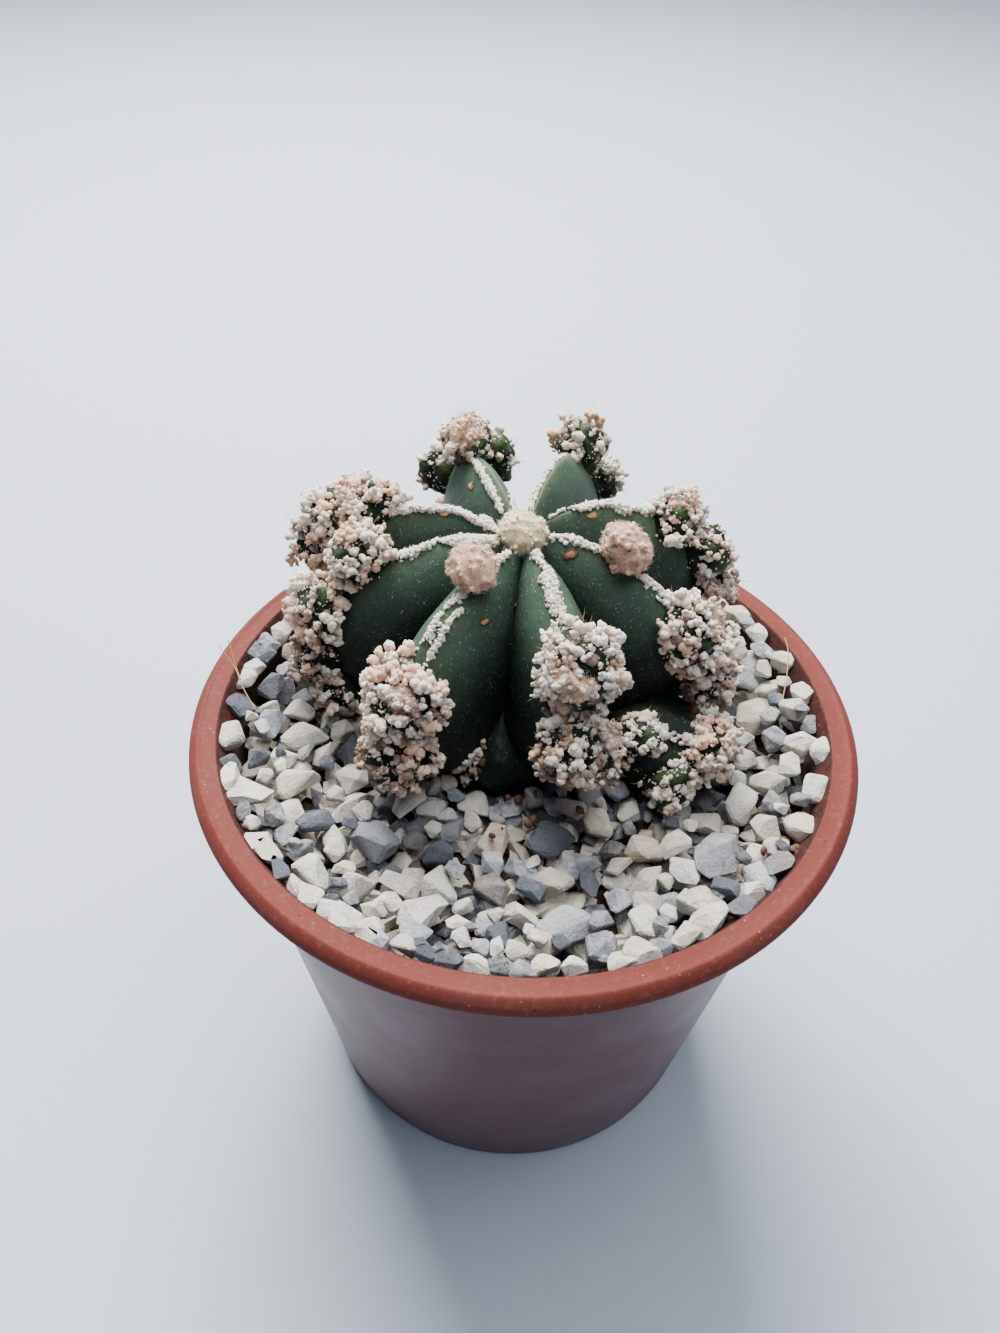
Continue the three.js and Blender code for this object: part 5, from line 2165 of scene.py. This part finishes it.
@dataclass
class Litter:
    """Dry flakes and seeds on the plant, loose crumbs, and dry fibres on the stones and over the rim."""

    stem: Stem
    view: PhotoView
    flakes: tuple[Flake, ...] = (
        Flake(471, 486, (0.75, 0.45, 0.16), 0.2, 0.1),
        Flake(444, 514, (0.7, 0.42, 0.16), 0.5, 0.25),
        Flake(592, 515, (0.75, 0.42, 0.16), 0.1, 0.1),
        Flake(537, 489, (0.9, 0.7, 0.2), 0.9, 0.25),
        Flake(571, 554, (0.85, 0.55, 0.2), 0.7, 0.5),
        Flake(567, 557, (0.4, 0.35, 0.2), 0.2, 0.7),
        Flake(516, 605, (0.35, 0.22, 0.2), 0.4, 0.1),
        Flake(484, 622, (0.85, 0.4, 0.22), -0.2, 0.4),
        Flake(693, 706, (2.2, 0.9, 0.22), -0.5, 0.45),
        Flake(474, 757, (0.8, 0.5, 0.3), 0.2, 0.8),
        Flake(482, 763, (0.6, 0.5, 0.3), 0.9, 0.9),
        Flake(479, 770, (0.5, 0.4, 0.25), 0.4, 0.7),
        Flake(640, 625, (0.4, 0.12, 0.1), 0.9, 0.6),
        Flake(434, 790, (0.7, 0.3, 0.2), 0.7, 0.7),
        Flake(547, 740, (0.5, 0.3, 0.2), 0.3, 0.8),
    )
    fibres: tuple[DryFibre, ...] = (
        DryFibre(
            "rim_left",
            ((218, 645, 69.5), (226, 655, 68.5), (236, 668, 67.2), (243, 690, 66), (256, 710, 64.6)),
        ),
        DryFibre("rim_left_fork", ((228, 640, 70), (231, 650, 69), (236, 668, 67.2), (241, 680, 66.4))),
        DryFibre(
            "rim_right",
            ((785, 638, 68), (789, 650, 67.4), (788, 664, 66.6), (786, 684, 65.4), (781, 706, 64.3)),
        ),
        DryFibre(
            "root_right",
            ((776, 868, 63), (788, 860, 63.8), (800, 866, 63.4), (812, 858, 64), (820, 846, 63.6)),
        ),
        DryFibre("root_front", ((688, 905, 64), (700, 899, 64.6), (712, 903, 64.3), (722, 897, 64.4))),
    )
    crumb_height: float = 63.2
    crumbs: tuple[tuple[int, int, int, float], ...] = (
        (800, 853, 14, 1.4), (786, 866, 10, 1.6), (520, 795, 10, 3.0),
    )

    def _flakes(self, heap: Heap) -> None:
        """Adds the flakes where their pixels meet the skin."""
        ball = Form.ball(3)
        edge = smooth(np.hypot(ball.corners[:, 0], ball.corners[:, 1]), 0.55, 0.95)
        for order, flake in enumerate(self.flakes):
            start, way = self.view.ray(flake.across, flake.down)
            spot, normal, _, _ = self.stem.tree.ray_cast(Vector(start), Vector(way))
            if spot is None:
                continue
            axes = normal.to_track_quat("Z", "Y").to_matrix() @ Matrix.Rotation(flake.turn, 3, "Z")
            ragged = 1 + waves(ball.corners * flake.half, 0.45, order) * 0.3
            places = ball.corners * flake.half * np.stack([ragged, ragged, np.ones(len(ragged))], -1)
            places = places @ np.array(axes).T + np.array(spot) + np.array(normal) * flake.half[2] * 0.1
            browned = flake.brown + edge * 0.5
            tints = np.stack([browned, np.zeros(len(edge)), 0.6 - edge * 0.3], -1)
            heap.add(Form(places, ball.faces), tints)

    def _crumbs(self, heap: Heap) -> None:
        """Adds a few brown crumbs between the stones at the right and at the plant's foot."""
        draw = np.random.default_rng(SEED + 60)
        for across, down, count, spread in self.crumbs:
            middle = self.view.at_height(across, down, self.crumb_height)
            places = middle + draw.normal(size=(count, 3)) * np.array([spread, spread, 0.25])
            axes = standing(unit(draw.normal(size=(count, 3))), draw) * draw.uniform(0.25, 0.6, (count, 1, 1))
            tints = tints_of(count, draw, (0.75, 1.1), 0, (0, 0.6))
            heap.scatter(Form.ball(2), places, axes, tints, 0.2, 0.6)

    def _fibre(self, fibre: DryFibre) -> Form:
        """A fibre as a thin tube through its knots."""
        curve = bpy.data.curves.new(fibre.name, "CURVE")
        curve.dimensions = "3D"
        curve.bevel_depth = fibre.radius
        curve.bevel_resolution = 1
        curve.use_fill_caps = True
        line = curve.splines.new("NURBS")
        line.points.add(len(fibre.knots) - 1)
        line.use_endpoint_u = True
        line.order_u = 3
        for point, knot in zip(line.points, fibre.knots):
            point.co = (*self.view.at_height(*knot), 1)
        thing = bpy.data.objects.new(fibre.name, curve)
        bpy.context.scene.collection.objects.link(thing)
        graph = bpy.context.evaluated_depsgraph_get()
        bm = bmesh.new()
        bm.from_mesh(thing.evaluated_get(graph).to_mesh())
        bpy.data.objects.remove(thing)
        bmesh.ops.remove_doubles(bm, verts=bm.verts, dist=1e-5)
        bmesh.ops.recalc_face_normals(bm, faces=bm.faces)
        return Form.of(bm)

    def build(self) -> None:
        """The dry things as two pieces."""
        material = DryHusk().build()
        on_skin = Heap()
        self._flakes(on_skin)
        finish_piece(on_skin.mesh("dry_flakes"), material)
        loose = Heap()
        self._crumbs(loose)
        for fibre in self.fibres:
            loose.add(self._fibre(fibre), np.array([0.15, 0.0, 0.6]))
        finish_piece(loose.mesh("crumbs_and_fibres"), material)


# The whole plant


def main() -> None:
    """Builds the potted plant, its room and its camera."""
    view = PhotoView()
    view.build()
    Room().build()
    pot = Pot()
    pot.build()
    Soil(pot).build()
    rib_heads = [heads_of(rib) for rib in RIBS]
    foot_heads = [heads_of_foot(foot) for foot in FOOT_RIBS]
    heads = [head for group in rib_heads + foot_heads for head in group]
    stem = Stem(heads=heads)
    stem.build()
    Wool(stem, view).build(rib_heads, foot_heads)
    Gravel(pot, stem, heads, view).build()
    Litter(stem, view).build()


if __name__ == "__main__":
    main()
